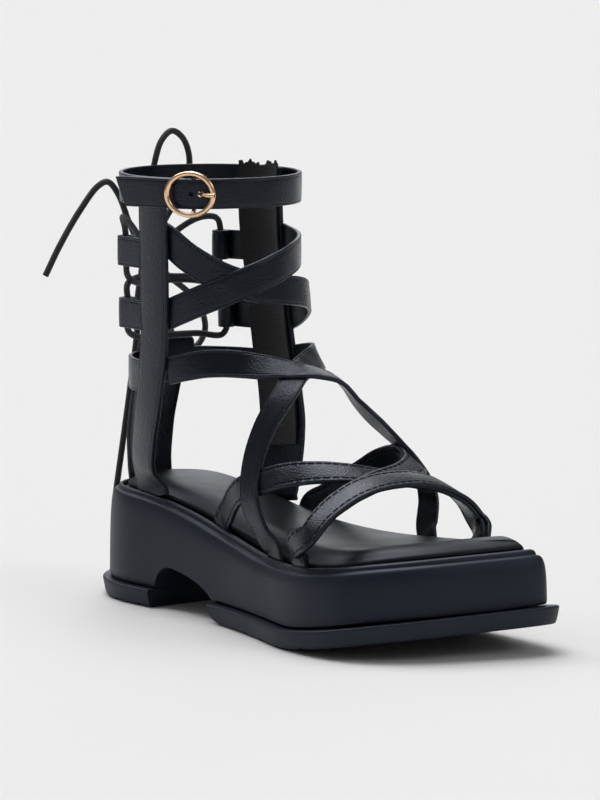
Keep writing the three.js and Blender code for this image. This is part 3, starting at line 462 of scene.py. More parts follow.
# %% Lace crossings behind the ankle
CROSSINGS = {
    "lace_run_outer": [
        (16.2, -2.6, 150.4), (17.6, -5, 152), (22, -13, 160), (29, -23.4, 167), (37, -31, 168.4),
        (41.6, -33, 164.6), (42.5, -33, 158), (42.5, -33, 150), (41.6, -32, 144.4), (36, -23, 139.6),
        (27, -3, 138.6), (28.4, 14, 137.6), (32, 24.6, 134.6), (34, 27.4, 129), (34, 27.4, 120),
    ],
    "lace_run_inner": [
        (15.5, 2.8, 150), (16, 5.6, 152), (18, 13, 159.6), (24, 21.4, 165), (29.6, 25.4, 164.6),
        (31.5, 26, 159), (31.5, 26, 148), (30.4, 23.6, 142.4), (27, 12, 139.6), (26.4, -3, 140.4),
        (34, -22, 141.4), (40.6, -31.4, 139), (42.5, -32.4, 133.6), (42.5, -32.4, 123),
    ],
    "lace_run_low": [
        (42.5, -32.4, 125), (42.5, -32.4, 120.4), (38, -24, 116), (31, -3, 114.8),
        (30.6, 14, 114.2), (33, 25.4, 113), (34, 27.4, 116.2), (34, 27.4, 121),
    ],
}
runs = [
    round_cord(run, smooth_line([station(*p) for p in route], 90), LACE * MM)
    for run, route in CROSSINGS.items()
]
finished(joined("lace_crossings_cord", runs), CORD, "lace_crossings")

# %% [markdown]
# The knot is a few turns of the same cord pulled tight, so it is made from three small rings of
# cord that lean across each other round a full core. It is large enough to hide all eight ends.

# %% Knot
KNOT = station(15, 0, 149)
KNOT_RING, KNOT_CORD, KNOT_CORE = 4.3, 1.5, 5.3
ROUND_A_RING, ROUND_ITS_CORD = 0.024, 0.009  # metres of UV
parts = []
for lean in (40, -40, 82):
    nothing_selected()
    bpy.ops.mesh.primitive_torus_add(
        major_radius=KNOT_RING * MM, minor_radius=KNOT_CORD * MM, major_segments=40, minor_segments=14,
        location=(0, 0, 0),
    )
    turn = named("knot_turn")
    leant = Matrix.Rotation(math.radians(lean), 4, "X") @ Matrix.Scale(0.9, 4, (1, 0, 0))
    turn.data.transform(Matrix.Translation(KNOT) @ leant)
    parts.append(turn)
bpy.ops.mesh.primitive_uv_sphere_add(segments=24, ring_count=14, radius=KNOT_CORE * MM, location=(0, 0, 0))
core = named("knot_core")
core.data.transform(Matrix.Translation(KNOT) @ Matrix.Diagonal((0.75, 1, 1, 1)))
knot = joined("lace_knot_turns", parts + [core])
for corner in knot.data.uv_layers.active.data:
    corner.uv = (corner.uv[0] * ROUND_A_RING, corner.uv[1] * ROUND_ITS_CORD)
smooth(knot)
finished(knot, CORD, "lace_knot")

# %% [markdown]
# The sole's outline is worked out from one table, a row for each station: half widths, toe spring,
# shoulder, foot bed, lip and rim. Values between rows follow a smooth curve.

# %% Sole tables
LENGTH, OUTSOLE, GAP, BATTER, TRAY, SLOT = 256, 8, 0.3, 1.6, 5, 2.6
TOE_SWEEP, SWEEP_START = 0.34, 150
SOLE_COLUMNS = ("x", "outer", "inner", "under", "shoulder", "bed", "lip", "rim", "crown")
SOLE = [dict(zip(SOLE_COLUMNS, row)) for row in [
    (0, 33, 33, 0, 45, 51, 3, 4.5, 2.2),
    (40, 35, 35, 0, 45, 51.5, 3.2, 4.8, 2.2),
    (62, 34.5, 35, 0, 43, 49.5, 3.5, 5.2, 2.4),
    (85, 34.5, 36, 0, 38.5, 45.5, 3.8, 5.8, 2.8),
    (110, 36, 39, 0, 33, 40, 4.2, 6, 3.6),
    (140, 41.5, 44, 0, 29, 36, 4.4, 6, 4.8),
    (170, 48.5, 48, 0, 29.5, 35.8, 4.6, 6, 5.2),
    (195, 50, 49, 3, 32, 38, 4.8, 6, 4.6),
    (225, 47, 48, 8, 35.5, 42, 5, 6.2, 2.8),
    (256, 40, 45, 13, 39, 46, 5.2, 6.4, 1.4),
]]


def read(table, by, key, at):
    end = len(table) - 1
    i = 0
    while i < end - 1 and at > table[i + 1][by]:
        i += 1

    def slope(k):
        a, b = table[max(k - 1, 0)], table[min(k + 1, end)]
        return (b[key] - a[key]) / (b[by] - a[by])

    p, q = table[i], table[i + 1]
    span = q[by] - p[by]
    t = min(max((at - p[by]) / span, 0), 1)
    rise = t * t * (3 - 2 * t)
    bend = span * t * (1 - t) * (slope(i) * (1 - t) - slope(i + 1) * t)
    return p[key] + (q[key] - p[key]) * rise + bend


def sole(key, x):
    return max(read(SOLE, "x", key, x), 0)


def lip_side(sign, key, steps):
    power = {"outer": 3, "inner": 4.6}[key]
    line = []
    for k in range(steps):
        x = LENGTH * (1 - math.cos(math.pi * (k + 0.5) / steps)) / 2
        heel = (1 - (1 - min(x / 40, 1)) ** 2.1) ** (1 / 2.1)
        toe = (1 - (1 - min((LENGTH - x) / 46, 1)) ** power) ** (1 / power)
        half = sole(key, x) * heel * toe
        sweep = TOE_SWEEP * (sole("inner", x) - sign * half)
        forward = min(max((x - SWEEP_START) / (LENGTH - SWEEP_START), 0), 1) ** 1.6
        line.append(Vector((x - sweep * forward, sign * half, 0)))
    return line


def outline(steps):
    """Evenly spaced places round the lip, so that no face is a sliver."""
    around = lip_side(-1, "outer", 90) + lip_side(1, "inner", 90)[::-1]
    return evenly(around + [around[0]], steps)[:-1]


ROUND = 200
LIP = outline(ROUND)


def inset_line(line, inset, height):
    out = []
    for i, p in enumerate(line):
        before, after = line[i - 1], line[(i + 1) % len(line)]
        inward = Vector((before.y - after.y, after.x - before.x, 0)).normalized()
        q = p + inward * inset(p.x)
        out.append(Vector((q.x, q.y, height(p.x))))
    return out


def ring(inset, height, soften=0):
    """Places of an inset outline, with its corners softened so that a deep inset never crosses itself."""
    line = inset_line(LIP, inset, height)
    for _ in range(soften):
        after = line[1:] + line[:1]
        line = [line[i - 1] * 0.25 + p * 0.5 + q * 0.25 for i, (p, q) in enumerate(zip(line, after))]
    return [station(*p) for p in line]


def rim_inset(share):
    return lambda x: sole("lip", x) + BATTER + share * sole("rim", x)


def rim_height(share):
    return lambda x: sole("shoulder", x) + share * (sole("bed", x) - sole("shoulder", x))


# %% [markdown]
# A moulded sole is a stack of outlines, each a little further in and higher than the last, and a
# strap is a stack of its cross sections. Both can start as a flat grid: its rows are laid on the
# outlines, the two long sides meet and are merged, and the end rows close across the middle. Two
# outlines close together hold a crisp edge when the mesh is subdivided.

# %% Closed skin through outlines
def closing(ring_places, shares):
    """Rows that run from an outline to the line halfway across it."""
    return [[p.lerp(ring_places[-1 - i], share) for i, p in enumerate(ring_places)] for share in shares]


def skin(name, rings, flat=None, levels=1, first=(0.5,), last=(0.5,)):
    rows = closing(rings[0], sorted(first, reverse=True)) + rings + closing(rings[-1], sorted(last))
    around = len(rings[0])
    nothing_selected()
    up = len(rows) - 1
    bpy.ops.mesh.primitive_grid_add(x_subdivisions=around, y_subdivisions=up, size=1, location=(0, 0, 0))
    piece = named(name)
    places = [(v.co.x + 0.5, v.co.y + 0.5) for v in piece.data.vertices]
    spots = [(round(x * around), round(y * up)) for x, y in places]
    for vertex, (column, row) in zip(piece.data.vertices, spots):
        vertex.co = rows[row][column % around]
    if flat:
        layer = piece.data.uv_layers.active
        for loop in piece.data.loops:
            column, row = spots[loop.vertex_index]
            row = min(max(row - len(first), 0), len(rings) - 1)
            layer.data[loop.index].uv = flat(column % around, row)
    facing_out(piece)
    if levels:
        rounded(piece, levels)
    smooth(piece)
    return piece


def prism(name, points, near, far):
    """A side view outline of stations and heights, pushed across the shoe."""
    nothing_selected()
    bpy.ops.mesh.primitive_circle_add(vertices=len(points), fill_type="NGON", location=(0, 0, 0))
    piece = named(name)
    for vertex, (x, z) in zip(piece.data.vertices, points):
        vertex.co = station(x, near, z)
    bpy.ops.object.mode_set(mode="EDIT")
    bpy.ops.mesh.select_all(action="SELECT")
    bpy.ops.mesh.extrude_region_move(TRANSFORM_OT_translate={"value": (0, (far - near) * MM, 0)})
    bpy.ops.object.mode_set(mode="OBJECT")
    facing_out(piece)
    return piece


def cut_away(piece, *cutters):
    for cutter in cutters:
        modify(piece, "BOOLEAN", object=cutter, operation="DIFFERENCE", solver="EXACT")
    for cutter in cutters:
        bpy.data.objects.remove(cutter)


# %% [markdown]
# The arch between heel and forefoot is one smooth notch right across both soles. It is cut with a
# side view outline, the way a sole press is drawn.

# %% Arch notch
NOTCH = [
    (59, -1), (59.5, 9), (62.5, 15.5), (68, 18.6), (76, 18), (88, 15.5), (97, 12), (103.5, 7), (105.5, 3),
    (111, 0.4), (118, -1),
]


def arch_notch():
    places = [Vector((x, 0, z)) for x, z in NOTCH]
    line = [curve_at(places, i / 60) for i in range(61)]
    return prism("arch_notch", [(p.x, p.z) for p in line] + [(118, -6), (59, -6)], -75, 75)


# %% Midsole
def foot(x):
    return sole("under", x) + OUTSOLE + GAP


def wall_part(share):
    return lambda x: foot(x) + share * (sole("shoulder", x) - foot(x))


def wall(lean):
    return lambda x: sole("lip", x) + lean * BATTER


midsole_rings = [ring(wall(0.02), lambda x: foot(x) - GAP), ring(wall(0), lambda x: foot(x) + 0.3)]
for lean, height in ((0.06, 0.25), (0.15, 0.5), (0.3, 0.7), (0.5, 0.84), (0.7, 0.93), (0.98, 0.985)):
    midsole_rings.append(ring(wall(lean), wall_part(height)))
RIM_PROFILE = [
    (0.06, 0.13), (0.16, 0.25), (0.28, 0.315), (0.4, 0.335), (0.455, 0.33), (0.48, 0.36), (0.5, 0.46),
    (0.55, 0.55), (0.64, 0.61), (0.76, 0.645), (0.88, 0.63), (0.96, 0.55), (1, 0.35),
]
for inward, height in RIM_PROFILE:
    midsole_rings.append(ring(rim_inset(inward), rim_height(height), soften=round(5 * inward)))
midsole_rings.append(ring(rim_inset(1), lambda x: sole("bed", x) - TRAY + 0.3, soften=5))
midsole = skin("midsole_moulding", midsole_rings)
cut_away(midsole, arch_notch())
smooth(midsole, 32)
finished(midsole, MIDSOLE_RUBBER, "midsole")

# %% [markdown]
# The outsole is one moulding too, parted by the notch. Its lip stands out past the midsole all
# round, with a sharp upper edge and a rounded lower one. Shallow grooves run across its tread.

# %% Outsole
def above_ground(rise):
    return lambda x: sole("under", x) + rise


outsole_rings = [
    ring(lambda x, inward=inward: inward, above_ground(rise))
    for inward, rise in (
        (3.2, 0), (2.4, 0.02), (1.7, 0.35), (1.25, 1.1), (0.9, 2.4), (0.5, 4.4), (0.16, 6.2), (0, 7),
        (0.04, 7.5), (0.4, 7.9), (1, 8), (2.4, 8),
    )
]
outsole = skin("outsole_moulding", outsole_rings)
grooves = []
for k in range(13):
    x = 16 + 17 * k
    if 52 < x < 122:
        continue
    low = sole("under", x) - 2
    grooves.append(prism("groove", [(x, low), (x + 3, low), (x + 3, low + 2.9), (x, low + 2.9)], -60, 60))
cut_away(outsole, arch_notch(), joined("tread_grooves", grooves))
use(outsole)
bpy.ops.object.mode_set(mode="EDIT")
bpy.ops.mesh.select_all(action="SELECT")
bpy.ops.mesh.separate(type="LOOSE")
bpy.ops.object.mode_set(mode="OBJECT")
halves = sorted(
    (o for o in bpy.context.scene.objects if o.type == "MESH" and o.name.startswith("outsole_moulding")),
    key=lambda o: -len(o.data.vertices),
)
print("outsole parts", len(halves))
for crumb in halves[2:]:
    bpy.data.objects.remove(crumb)
halves = sorted(halves[:2], key=lambda o: min(v.co.x for v in o.data.vertices))
for half, node_name in zip(halves, ("outsole_heel", "outsole_forefoot")):
    half.name = half.data.name = node_name + "_moulding"
    smooth(half, 32)
    finished(half, OUTSOLE_RUBBER, node_name)

# %% [markdown]
# The insole is foam under lining leather, pulled down all round, so its edge rolls over softly and
# its middle stands up in a low cushion. The subdivided skin gives that without a simulation.

# %% Insole
def slot_inset(more):
    return lambda x: rim_inset(1)(x) + SLOT + more


def puff(share):
    return lambda x: sole("bed", x) + share * sole("crown", x)


SOFT_CORNERS = 14
insole_rings = [
    ring(slot_inset(inward), lambda x, rise=rise: sole("bed", x) + rise, SOFT_CORNERS)
    for inward, rise in (
        (0.7, GAP - TRAY), (0.1, 0.9 - TRAY), (-0.9, -3.3), (-1.1, -2.4), (-0.8, -1.5), (0, -0.75),
        (1.1, -0.15),
    )
]
for inward, share in ((2.4, 0.3), (3.9, 0.56), (5.6, 0.77), (7.6, 0.92), (10, 1)):
    insole_rings.append(ring(slot_inset(inward), puff(share), SOFT_CORNERS))
insole = skin("insole_cushion", insole_rings, last=(0.12, 0.26, 0.4, 0.5))
finished(insole, INSOLE_LEATHER, "insole")

# %% [markdown]
# Straps are laid on the form of a foot. One table holds the form's sections, and a strap's own
# table says how it wanders over the form: u runs from the toes to the collar, and turn goes round
# from the shin at 0 to the inner side at 90 and the outer side at -90.

# %% Foot form
FORM_COLUMNS = ("u", "x", "z", "tilt", "half", "front", "back", "power")
FORM = [dict(zip(FORM_COLUMNS, row)) for row in [
    (0, 226, 36, 0, 39, 21, 1, 2.6),
    (1, 188, 34, 6, 43, 29, 1, 2.5),
    (2, 152, 36, 18, 40, 43, 1, 2.3),
    (3, 120, 45, 34, 34, 58, 1, 2.2),
    (4, 90, 66, 54, 32, 62, 30, 2.1),
    (5, 67, 98, 74, 33, 52, 42, 2),
    (6, 60, 135, 86, 34, 45, 40, 2),
    (7, 60, 187, 90, 36, 42, 41, 2),
]]
WALL_THICK, FLAT = 2, 4000
OVER = 1.7
UP = Vector((0, 0, 1))


def on_form(u, turn, lift=0.0):
    row = {key: read(FORM, "u", key, u) for key in FORM_COLUMNS[1:]}
    c, s = math.cos(math.radians(turn)), math.sin(math.radians(turn))
    c, s = (math.copysign(abs(v) ** (2 / row["power"]), v) for v in (c, s))
    out = c * (row["front" if c > 0 else "back"] + lift)
    tilt = math.radians(row["tilt"])
    middle = Vector((row["x"], (row["half"] + lift) * s, row["z"]))
    return middle + Vector((math.sin(tilt), 0, math.cos(tilt))) * out


def form_normal(u, turn):
    along = on_form(u + 0.04, turn) - on_form(u - 0.04, turn)
    around = on_form(u, turn + 1.5) - on_form(u, turn - 1.5)
    return around.cross(along).normalized()


COARSE = 28
COARSE_LIP = lip_side(-1, "outer", COARSE) + lip_side(1, "inner", COARSE)[::-1]
SLOT_LINE = inset_line(COARSE_LIP, lambda x: rim_inset(1)(x) + SLOT / 2, lambda x: sole("bed", x))


def slot_point(side, x, height, lift):
    half = SLOT_LINE[:COARSE] if side < 0 else SLOT_LINE[COARSE:][::-1]
    k = next((i for i, p in enumerate(half) if p.x > x), 1)
    k = min(max(k, 1), COARSE - 1)
    a, b = half[k - 1], half[k]
    point = a.lerp(b, (x - a.x) / (b.x - a.x))
    normal = Vector((-(b.y - a.y) * side, (b.x - a.x) * side, 0)).normalized()
    point.z = sole("bed", x) + height
    return point + normal * lift, normal


# %% [markdown]
# A row of a strap's table is a place on the form (u, turn, lift), a slot in the sole (side,
# station, height, lift), or a free point with the compass direction its face looks to.

# %% Places along a strap
def on(u, turn, lift=0.0):
    normal = form_normal(u, turn)
    return {"point": on_form(u, turn) + normal * lift, "normal": normal}


def slot(side, x, height, lift=0.0, **more):
    point, normal = slot_point(side, x, height, lift)
    return {"point": point, "normal": normal, **more}


def free(x, y, z, facing, **more):
    facing = math.radians(facing)
    return {"point": Vector((x, y, z)), "normal": Vector((math.cos(facing), math.sin(facing), 0)), **more}


def frames_along(rows, width, steps):
    """Middle, outward and crosswise directions, width and bow of a strap's sections."""
    points = [row["point"] for row in rows]
    frames = []
    for i in range(steps + 1):
        t = i / steps
        k = min(int(t * (len(rows) - 1)), len(rows) - 2)
        share = t * (len(rows) - 1) - k
        ease = share * share * (3 - 2 * share)

        def blend(key, plain):
            a, b = rows[k].get(key, plain), rows[k + 1].get(key, plain)
            return a + (b - a) * ease

        t0, t1 = max(t - 1e-4, 0), min(t + 1e-4, 1)
        along = (curve_at(points, t1) - curve_at(points, t0)).normalized()
        out = rows[k]["normal"].lerp(rows[k + 1]["normal"], ease)
        out = (out - along * out.dot(along)).normalized()
        across = out.cross(along).normalized()
        frames.append((curve_at(points, t), out, across, blend("width", width), blend("bow", FLAT)))
    return frames


# %% [markdown]
# A folded strap isn't a plain ribbon. Its section has rounded folds, a groove pressed beside each
# edge, and a slightly raised middle. Pairs of distance in from the edge and level in shares of the
# thickness describe half of that section: two outer faces, plain and padded, and one back.

# %% Strap sections
PLAIN_FACE = [
    (0, 0.4), (0.02, 0.78), (0.24, 0.98), (0.7, 1.02), (1, 1), (1.15, 0.9), (1.3, 0.99), (2.2, 1.02),
]
PADDED_FACE = [
    (0, 0.4), (0.02, 0.78), (0.26, 0.98), (1, 1.02), (1.5, 1), (1.8, 0.95), (2.1, 1), (2.8, 1.05),
]
BACK_FACE = [(0, 0.4), (0.02, 0.18), (0.26, 0.02), (0.7, 0), (1, 0), (1.2, 0), (1.45, 0), (2.4, 0)]


def strap_of_frames(name, frames, face, thickness=WALL_THICK, inner=0.0, away=None, levels=1):
    middle_level = 1.1 if face is PADDED_FACE else 1.04
    rings, runs, run = [], [], 0
    for i, (middle, out, across, wide, bow) in enumerate(frames):
        half = wide / 2
        shrink = min(1, half / 4.2)
        front = [(-half + d * shrink, level) for d, level in face] + [(0, middle_level)]
        front += [(half - d * shrink, level) for d, level in reversed(face)]
        back = [(half - d * shrink, level) for d, level in BACK_FACE] + [(0, 0)]
        back += [(-half + d * shrink, level) for d, level in reversed(BACK_FACE)]
        places = []
        for offset, level in front + back:
            rise = inner + level * thickness
            angle = offset / bow
            away_from = -out if away is None else away
            place = middle + across * bow * math.sin(angle) + away_from * (bow - bow * math.cos(angle))
            place += (out * math.cos(angle) + across * math.sin(angle)) * rise
            places.append(station(*place))
        rings.append(places)
        edges = [half - abs(offset) for offset, _ in front + back]
        run += (middle - frames[i - 1][0]).length if i else 0
        runs.append(run)
    return skin(name, rings, flat=lambda column, row: (runs[row] * MM, edges[column] * MM), levels=levels)


def strap(name, rows, width, steps=64, stitched=False, thickness=WALL_THICK, finish=True):
    face = PADDED_FACE if stitched else PLAIN_FACE
    piece = strap_of_frames(name, frames_along(rows, width, steps), face, thickness)
    if finish:
        finished(piece, STITCHED if stitched else LEATHER, "upper")
    return piece


ENTRY, OUTER, INNER = -4.4, -1, 1

# %% [markdown]
# Five straps cross over the forefoot and the instep. Where one lies over another its rows are
# lifted by a strap's thickness. The three nearest the toes are padded and stitched.

# %% Forefoot and instep straps
strap("toe_strap", [
    slot(OUTER, 171, ENTRY), slot(OUTER, 171, 1.5, 0.7), slot(OUTER, 172, 6, 3.6), on(1.13, -68, OVER),
    on(1.11, -53, OVER), on(1.13, -34, OVER), on(1.16, -14, 2.6), on(1.15, 2, 3.3), on(1.14, 17, 3),
    on(1.1, 34, 2.4), on(1.01, 51, 2.2), on(0.96, 67, OVER), slot(INNER, 196, 6, 5.4),
    slot(INNER, 199, 1.5, 1.6), slot(INNER, 200, ENTRY),
], 12, stitched=True)
strap("rear_to_toe_strap", [
    slot(OUTER, 99, ENTRY), slot(OUTER, 101, 1, 0.6), slot(OUTER, 109, 8, 3.6), on(3.12, -77),
    on(2.73, -63), on(2.3, -48), on(1.9, -31), on(1.64, -16), on(1.43, -2), on(1.26, 14, 0.4),
    on(1.13, 32, 0.8), on(1.03, 50, 0.5), on(0.97, 68), slot(INNER, 194, 6, 4),
    slot(INNER, 197, 1.5, 1.2), slot(INNER, 198, ENTRY),
], 12, steps=80, stitched=True)
strap("rear_to_ball_strap", [
    slot(INNER, 96, ENTRY), slot(INNER, 97.4, 1.5, 0.8), slot(INNER, 104, 7, 3.2), on(3.18, 76, 0.4),
    on(2.92, 64, 1), on(2.6, 54, 1.6), on(2.3, 45, 2.2), on(2.05, 39, 2.4), on(1.8, 33, 2.2),
    on(1.58, 23, 1.9), on(1.4, 11, OVER), on(1.28, -2, OVER), on(1.21, -15, 1), on(1.17, -31, 0.2),
    {**on(1.15, -50, -0.2), "width": 11}, {**on(1.16, -68, -0.5), "width": 9},
    slot(OUTER, 174, 6, 1.2, width=7.5), slot(OUTER, 173, 1.5, -0.4, width=7.5),
    slot(OUTER, 173, ENTRY, width=7.5),
], 12, steps=90, stitched=True)
strap("instep_down_strap", [
    on(5.16, 84), on(5.14, 68, 1), on(5.08, 50, 1.2), on(4.97, 31, 1), on(4.83, 13, 0.6), on(4.66, -2),
    on(4.44, -14), on(4.2, -23), on(3.95, -33), on(3.7, -44), on(3.4, -56, 0.2), on(3.04, -67, 1.3),
    on(2.64, -75, OVER), slot(OUTER, 143.6, 7, 4.2), slot(OUTER, 146.6, 1.5, 1), slot(OUTER, 148, ENTRY),
], 12, steps=90)
strap("ankle_to_ball_strap", [
    on(5.15, -80), on(5.15, -67), on(5.13, -53), on(5.04, -39, 0.5), on(4.88, -26, 1.2),
    on(4.65, -13, OVER), on(4.44, 2, OVER), on(4.26, 18, 1.4), on(4.05, 31, 1), on(3.76, 39, 1.2),
    on(3.4, 41.5, 2), on(3.03, 42, 3), on(2.68, 42, 3.6), on(2.4, 43, 4), on(2.16, 47, 4),
    on(1.98, 56, 3), on(1.9, 68, 2), slot(INNER, 162, 7, 4.4), slot(INNER, 165, 1.5, 1.2),
    slot(INNER, 166, ENTRY),
], 12, steps=100)

# %% Ankle straps
strap("ankle_down_strap", [
    on(6.6, -80), on(6.52, -69), on(6.41, -59), on(6.3, -47), on(6.2, -34), on(6.11, -16), on(6.06, 6, 0.6),
    on(6, 32, 2), on(5.9, 54, 2.6), on(5.77, 70, 1.4), on(5.68, 84),
], 13)
strap("ankle_up_strap", [
    on(5.8, -80), on(5.86, -71), on(5.98, -52, 0.6), on(6.12, -28, 1.6), on(6.24, -6, OVER),
    on(6.34, 18, 0.4), on(6.39, 42, -0.8), on(6.42, 64, -0.4), on(6.46, 84),
], 13)

# %% [markdown]
# An upright on the outer side and a wide panel with a zip on the inner side carry the straps. Both
# curve round the ankle, so their sections are bowed. The heel strap joins them behind.

# %% Upright and heel strap
COLLAR = 188.5
strap("outer_upright", [
    free(67.6, -36.6, COLLAR, -90, bow=60), free(67.6, -36, 165, -90, bow=60),
    free(67, -35, 135, -90, bow=60), free(65.4, -34.4, 113, -91, bow=60),
    free(60.4, -33.6, 91, -94, bow=60), free(55, -32, 76, -97, bow=50),
    free(49.6, -28.6, 61, -97, bow=50), slot(OUTER, 50, -1, bow=90), slot(OUTER, 51, ENTRY, bow=90),
], 18.6, steps=70, thickness=2.2)
strap("heel_strap", [
    free(58, -33, 101, -92), free(42, -28.6, 101, -117), free(28.6, -18, 101, -142),
    free(22.4, 0, 101, -180), free(28.6, 18, 101, -218), free(42, 28.6, 101, -243),
    free(56, 32.8, 101, -264),
], 14, steps=60)

# %% Back stay, turned over the heel strap
stay_rows = [
    free(12.4, 0, 47, 180, bow=20, width=23), free(11.2, 0, 56, 180, bow=21, width=23.5),
    free(12, 0, 72, 180, bow=24, width=25), free(16, 0, 88, 180, bow=27, width=26),
    free(20, 0, 100, 180, bow=29, width=27), free(21.8, 0, 110, 180, bow=30, width=27),
]
stay_frames = frames_along(stay_rows, 27, 40)
across = stay_frames[-1][2]
for k in range(1, 9):
    angle = math.pi * k / 8
    out = Vector((-math.cos(angle), 0, math.sin(angle)))
    stay_frames.append((Vector((23, 0, 110)) + out * 1.2, out, across, 27, 30))
for z in (107, 103, 99, 95, 93):
    stay_frames.append((Vector((24.2, 0, z)), Vector((1, 0, 0)), across, 27, 30))
stay = strap_of_frames("back_stay", stay_frames, PLAIN_FACE, thickness=1.8, away=Vector((1, 0, 0)))
finished(stay, LEATHER, "upper")

# %% Zipped inner panel
PANEL_ROWS = [
    free(51, 34.9, COLLAR, 98, bow=34, width=26), free(51.5, 34.4, 167, 97, bow=34, width=26),
    free(56, 34, 140, 94, bow=38, width=27), free(61.5, 33.4, 113, 91, bow=44, width=28.5),
    free(67, 32.8, 91, 90, bow=60, width=30), free(70.5, 31, 74, 90, bow=80, width=31.5),
    free(72.6, 26.8, 60, 90, bow=160, width=32), slot(INNER, 73, -1, bow=400, width=32),
    slot(INNER, 73.5, ENTRY, bow=400, width=32),
]


def narrowed(rows, width):
    return [{**row, "width": width} for row in rows]


panel = strap("zipped_panel", PANEL_ROWS, 30, steps=80, thickness=2.2, finish=False)
ZIP_OPENING = 6.6
opening_rows = narrowed([*PANEL_ROWS[:6], free(71.2, 30.2, 70, 90, bow=160)], ZIP_OPENING)
opening = strap_of_frames("zip_opening", frames_along(opening_rows, ZIP_OPENING, 40), PLAIN_FACE,
                          thickness=9, inner=-3, levels=0)
cut_away(panel, opening)
smooth(panel, 40)
finished(panel, LEATHER, "upper")

# %% Ankle strap with its slanting free end
ANKLE_HEIGHT = 182.5
ANKLE_U = 7 - (187 - ANKLE_HEIGHT) / 52
round_the_ankle = [
    (-56, OVER), (-74, OVER), (-94, OVER), (-118, 0.8), (-148, 0), (-180, 0), (-212, 0), (-232, 1.8),
    (-246, 2), (-262, 2), (-280, 1.2), (-305, -0.8), (-332, -1.4), (-360, -1.4), (-383, -0.4),
    (-398, 1.8), (-412, 3.4), (-426, 3.6), (-440, 3.6),
]
ankle_rows = [on(ANKLE_U, turn, lift) for turn, lift in round_the_ankle]
ankle_rows += [free(56, -40.6, 182, -91), free(40, -41.2, 181.2, -94, width=12.2)]
ankle_strap = strap("buckled_ankle_strap", ankle_rows, 13, steps=190, finish=False)

BUCKLE_TURN = -51
BUCKLE_SPOT = on_form(ANKLE_U, BUCKLE_TURN)
BUCKLE_OUT = form_normal(ANKLE_U, BUCKLE_TURN)
BUCKLE_OUT = Vector((BUCKLE_OUT.x, BUCKLE_OUT.y, 0)).normalized()


def seated(point, out, x, y, z):
    """A place given along the strap, up and outwards from a spot on it."""
    return station(*(point + UP.cross(out).normalized() * x + UP * y + out * z))


def on_buckle(x, y, z):
    return seated(BUCKLE_SPOT, BUCKLE_OUT, x, y, z)


def buckle_rod(name, points, diameter, steps=40):
    return round_cord(name, smooth_line([on_buckle(*p) for p in points], steps), diameter * MM)


PRONG = [(2.5, 0, 2.6), (3.7, 0, 4.3), (5.6, 0, 7.4), (8.8, 0, 9.6), (11.8, 0, 9.5)]
slant = prism("slanting_cut", [(20, 170), (59, 170), (44, 196), (20, 196)], -80, -40.1)
cut_away(
    ankle_strap, slant,
    buckle_rod("prong_hole", [(2.1, 0, 1.8), (3.7, 0, 4.3), (5.6, 0, 7.4)], 2.6, 8),
    buckle_rod("spare_hole", [(0, 0, 3.6), (0, 0, 6), (0, 0, 8.6)], 2.2, 4),
)
smooth(ankle_strap, 40)
finished(ankle_strap, LEATHER, "upper")

# %% [markdown]
# Four leather tabs are folded round the lace. Each is a short strap that leaves the upright, turns
# round the lace and comes back to itself.

# %% Lace loops
def lace_tab(name, root, eye, z):
    root, eye = Vector((*root, 0)), Vector((*eye, 0))
    along = (root - eye).normalized()
    out = Vector((along.y, -along.x, 0)) * (1 if eye.y < 0 else -1)
    reach = 2.35
    frames = []
    for share in (0, 0.25, 0.5, 0.75, 0.98):
        middle = root.lerp(eye, share) + out * reach + UP * z
        frames.append((middle, out, UP, 13, FLAT))
    for k in range(1, 17):
        angle = math.radians(k * 19)
        turned = out * math.cos(angle) - along * math.sin(angle)
        frames.append((eye + turned * reach + UP * z, turned, UP, 13, FLAT))
    piece = strap_of_frames(name, frames, PLAIN_FACE, thickness=1.55)
    finished(piece, LEATHER, "upper")


lace_tab("lace_tab_outer_high", (60, -33.4), (42.5, -33), 155)
lace_tab("lace_tab_outer_low", (60, -32.6), (42.5, -32.4), 128)
lace_tab("lace_tab_inner_high", (41, 30), (31.5, 26), 153)
lace_tab("lace_tab_inner_low", (46, 30.6), (34, 27.4), 123)

# %% [markdown]
# The buckle is an oval ring of plated wire with a bar across its back, and a prong that starts on
# the bar, comes up through the strap and rests on the ring.

# %% Buckle
RING_LONG, RING_TALL, RING_LEVEL, RING_WIRE = 10.4, 8.9, 7.4, 2.2
RING_MEAN = (RING_LONG + RING_TALL) / 2
BAR_LEG = [(RING_TALL, RING_LEVEL), (RING_TALL, 4.8), (8.4, 3), (6.8, 2.1)]
nothing_selected()
bpy.ops.mesh.primitive_torus_add(
    major_radius=RING_MEAN * MM, minor_radius=RING_WIRE / 2 * MM, major_segments=96, minor_segments=24,
    location=(0, 0, 0),
)
oval = named("buckle_oval")
for vertex in oval.data.vertices:
    x, y, z = vertex.co / MM
    vertex.co = on_buckle(x * RING_LONG / RING_MEAN, y * RING_TALL / RING_MEAN, RING_LEVEL + z * 0.94)
bar_line = [(0, -y, z) for y, z in BAR_LEG] + [(0, 0, 2.1)] + [(0, y, z) for y, z in reversed(BAR_LEG)]
bar = buckle_rod("buckle_bar", bar_line, 1.9, 60)
buckle = joined("buckle_ring", [oval, bar])
facing_out(buckle)
smooth(buckle)
finished(buckle, ROSE_GOLD, "buckle_frame")
prong = buckle_rod("buckle_tongue", PRONG, 1.7)
finished(prong, ROSE_GOLD, "buckle_prong")

# %% [markdown]
# The zip is a woven tape with its ends left raw above the collar, and two rows of moulded teeth
# that mesh down its middle. One tooth is modelled and copied along the tape.

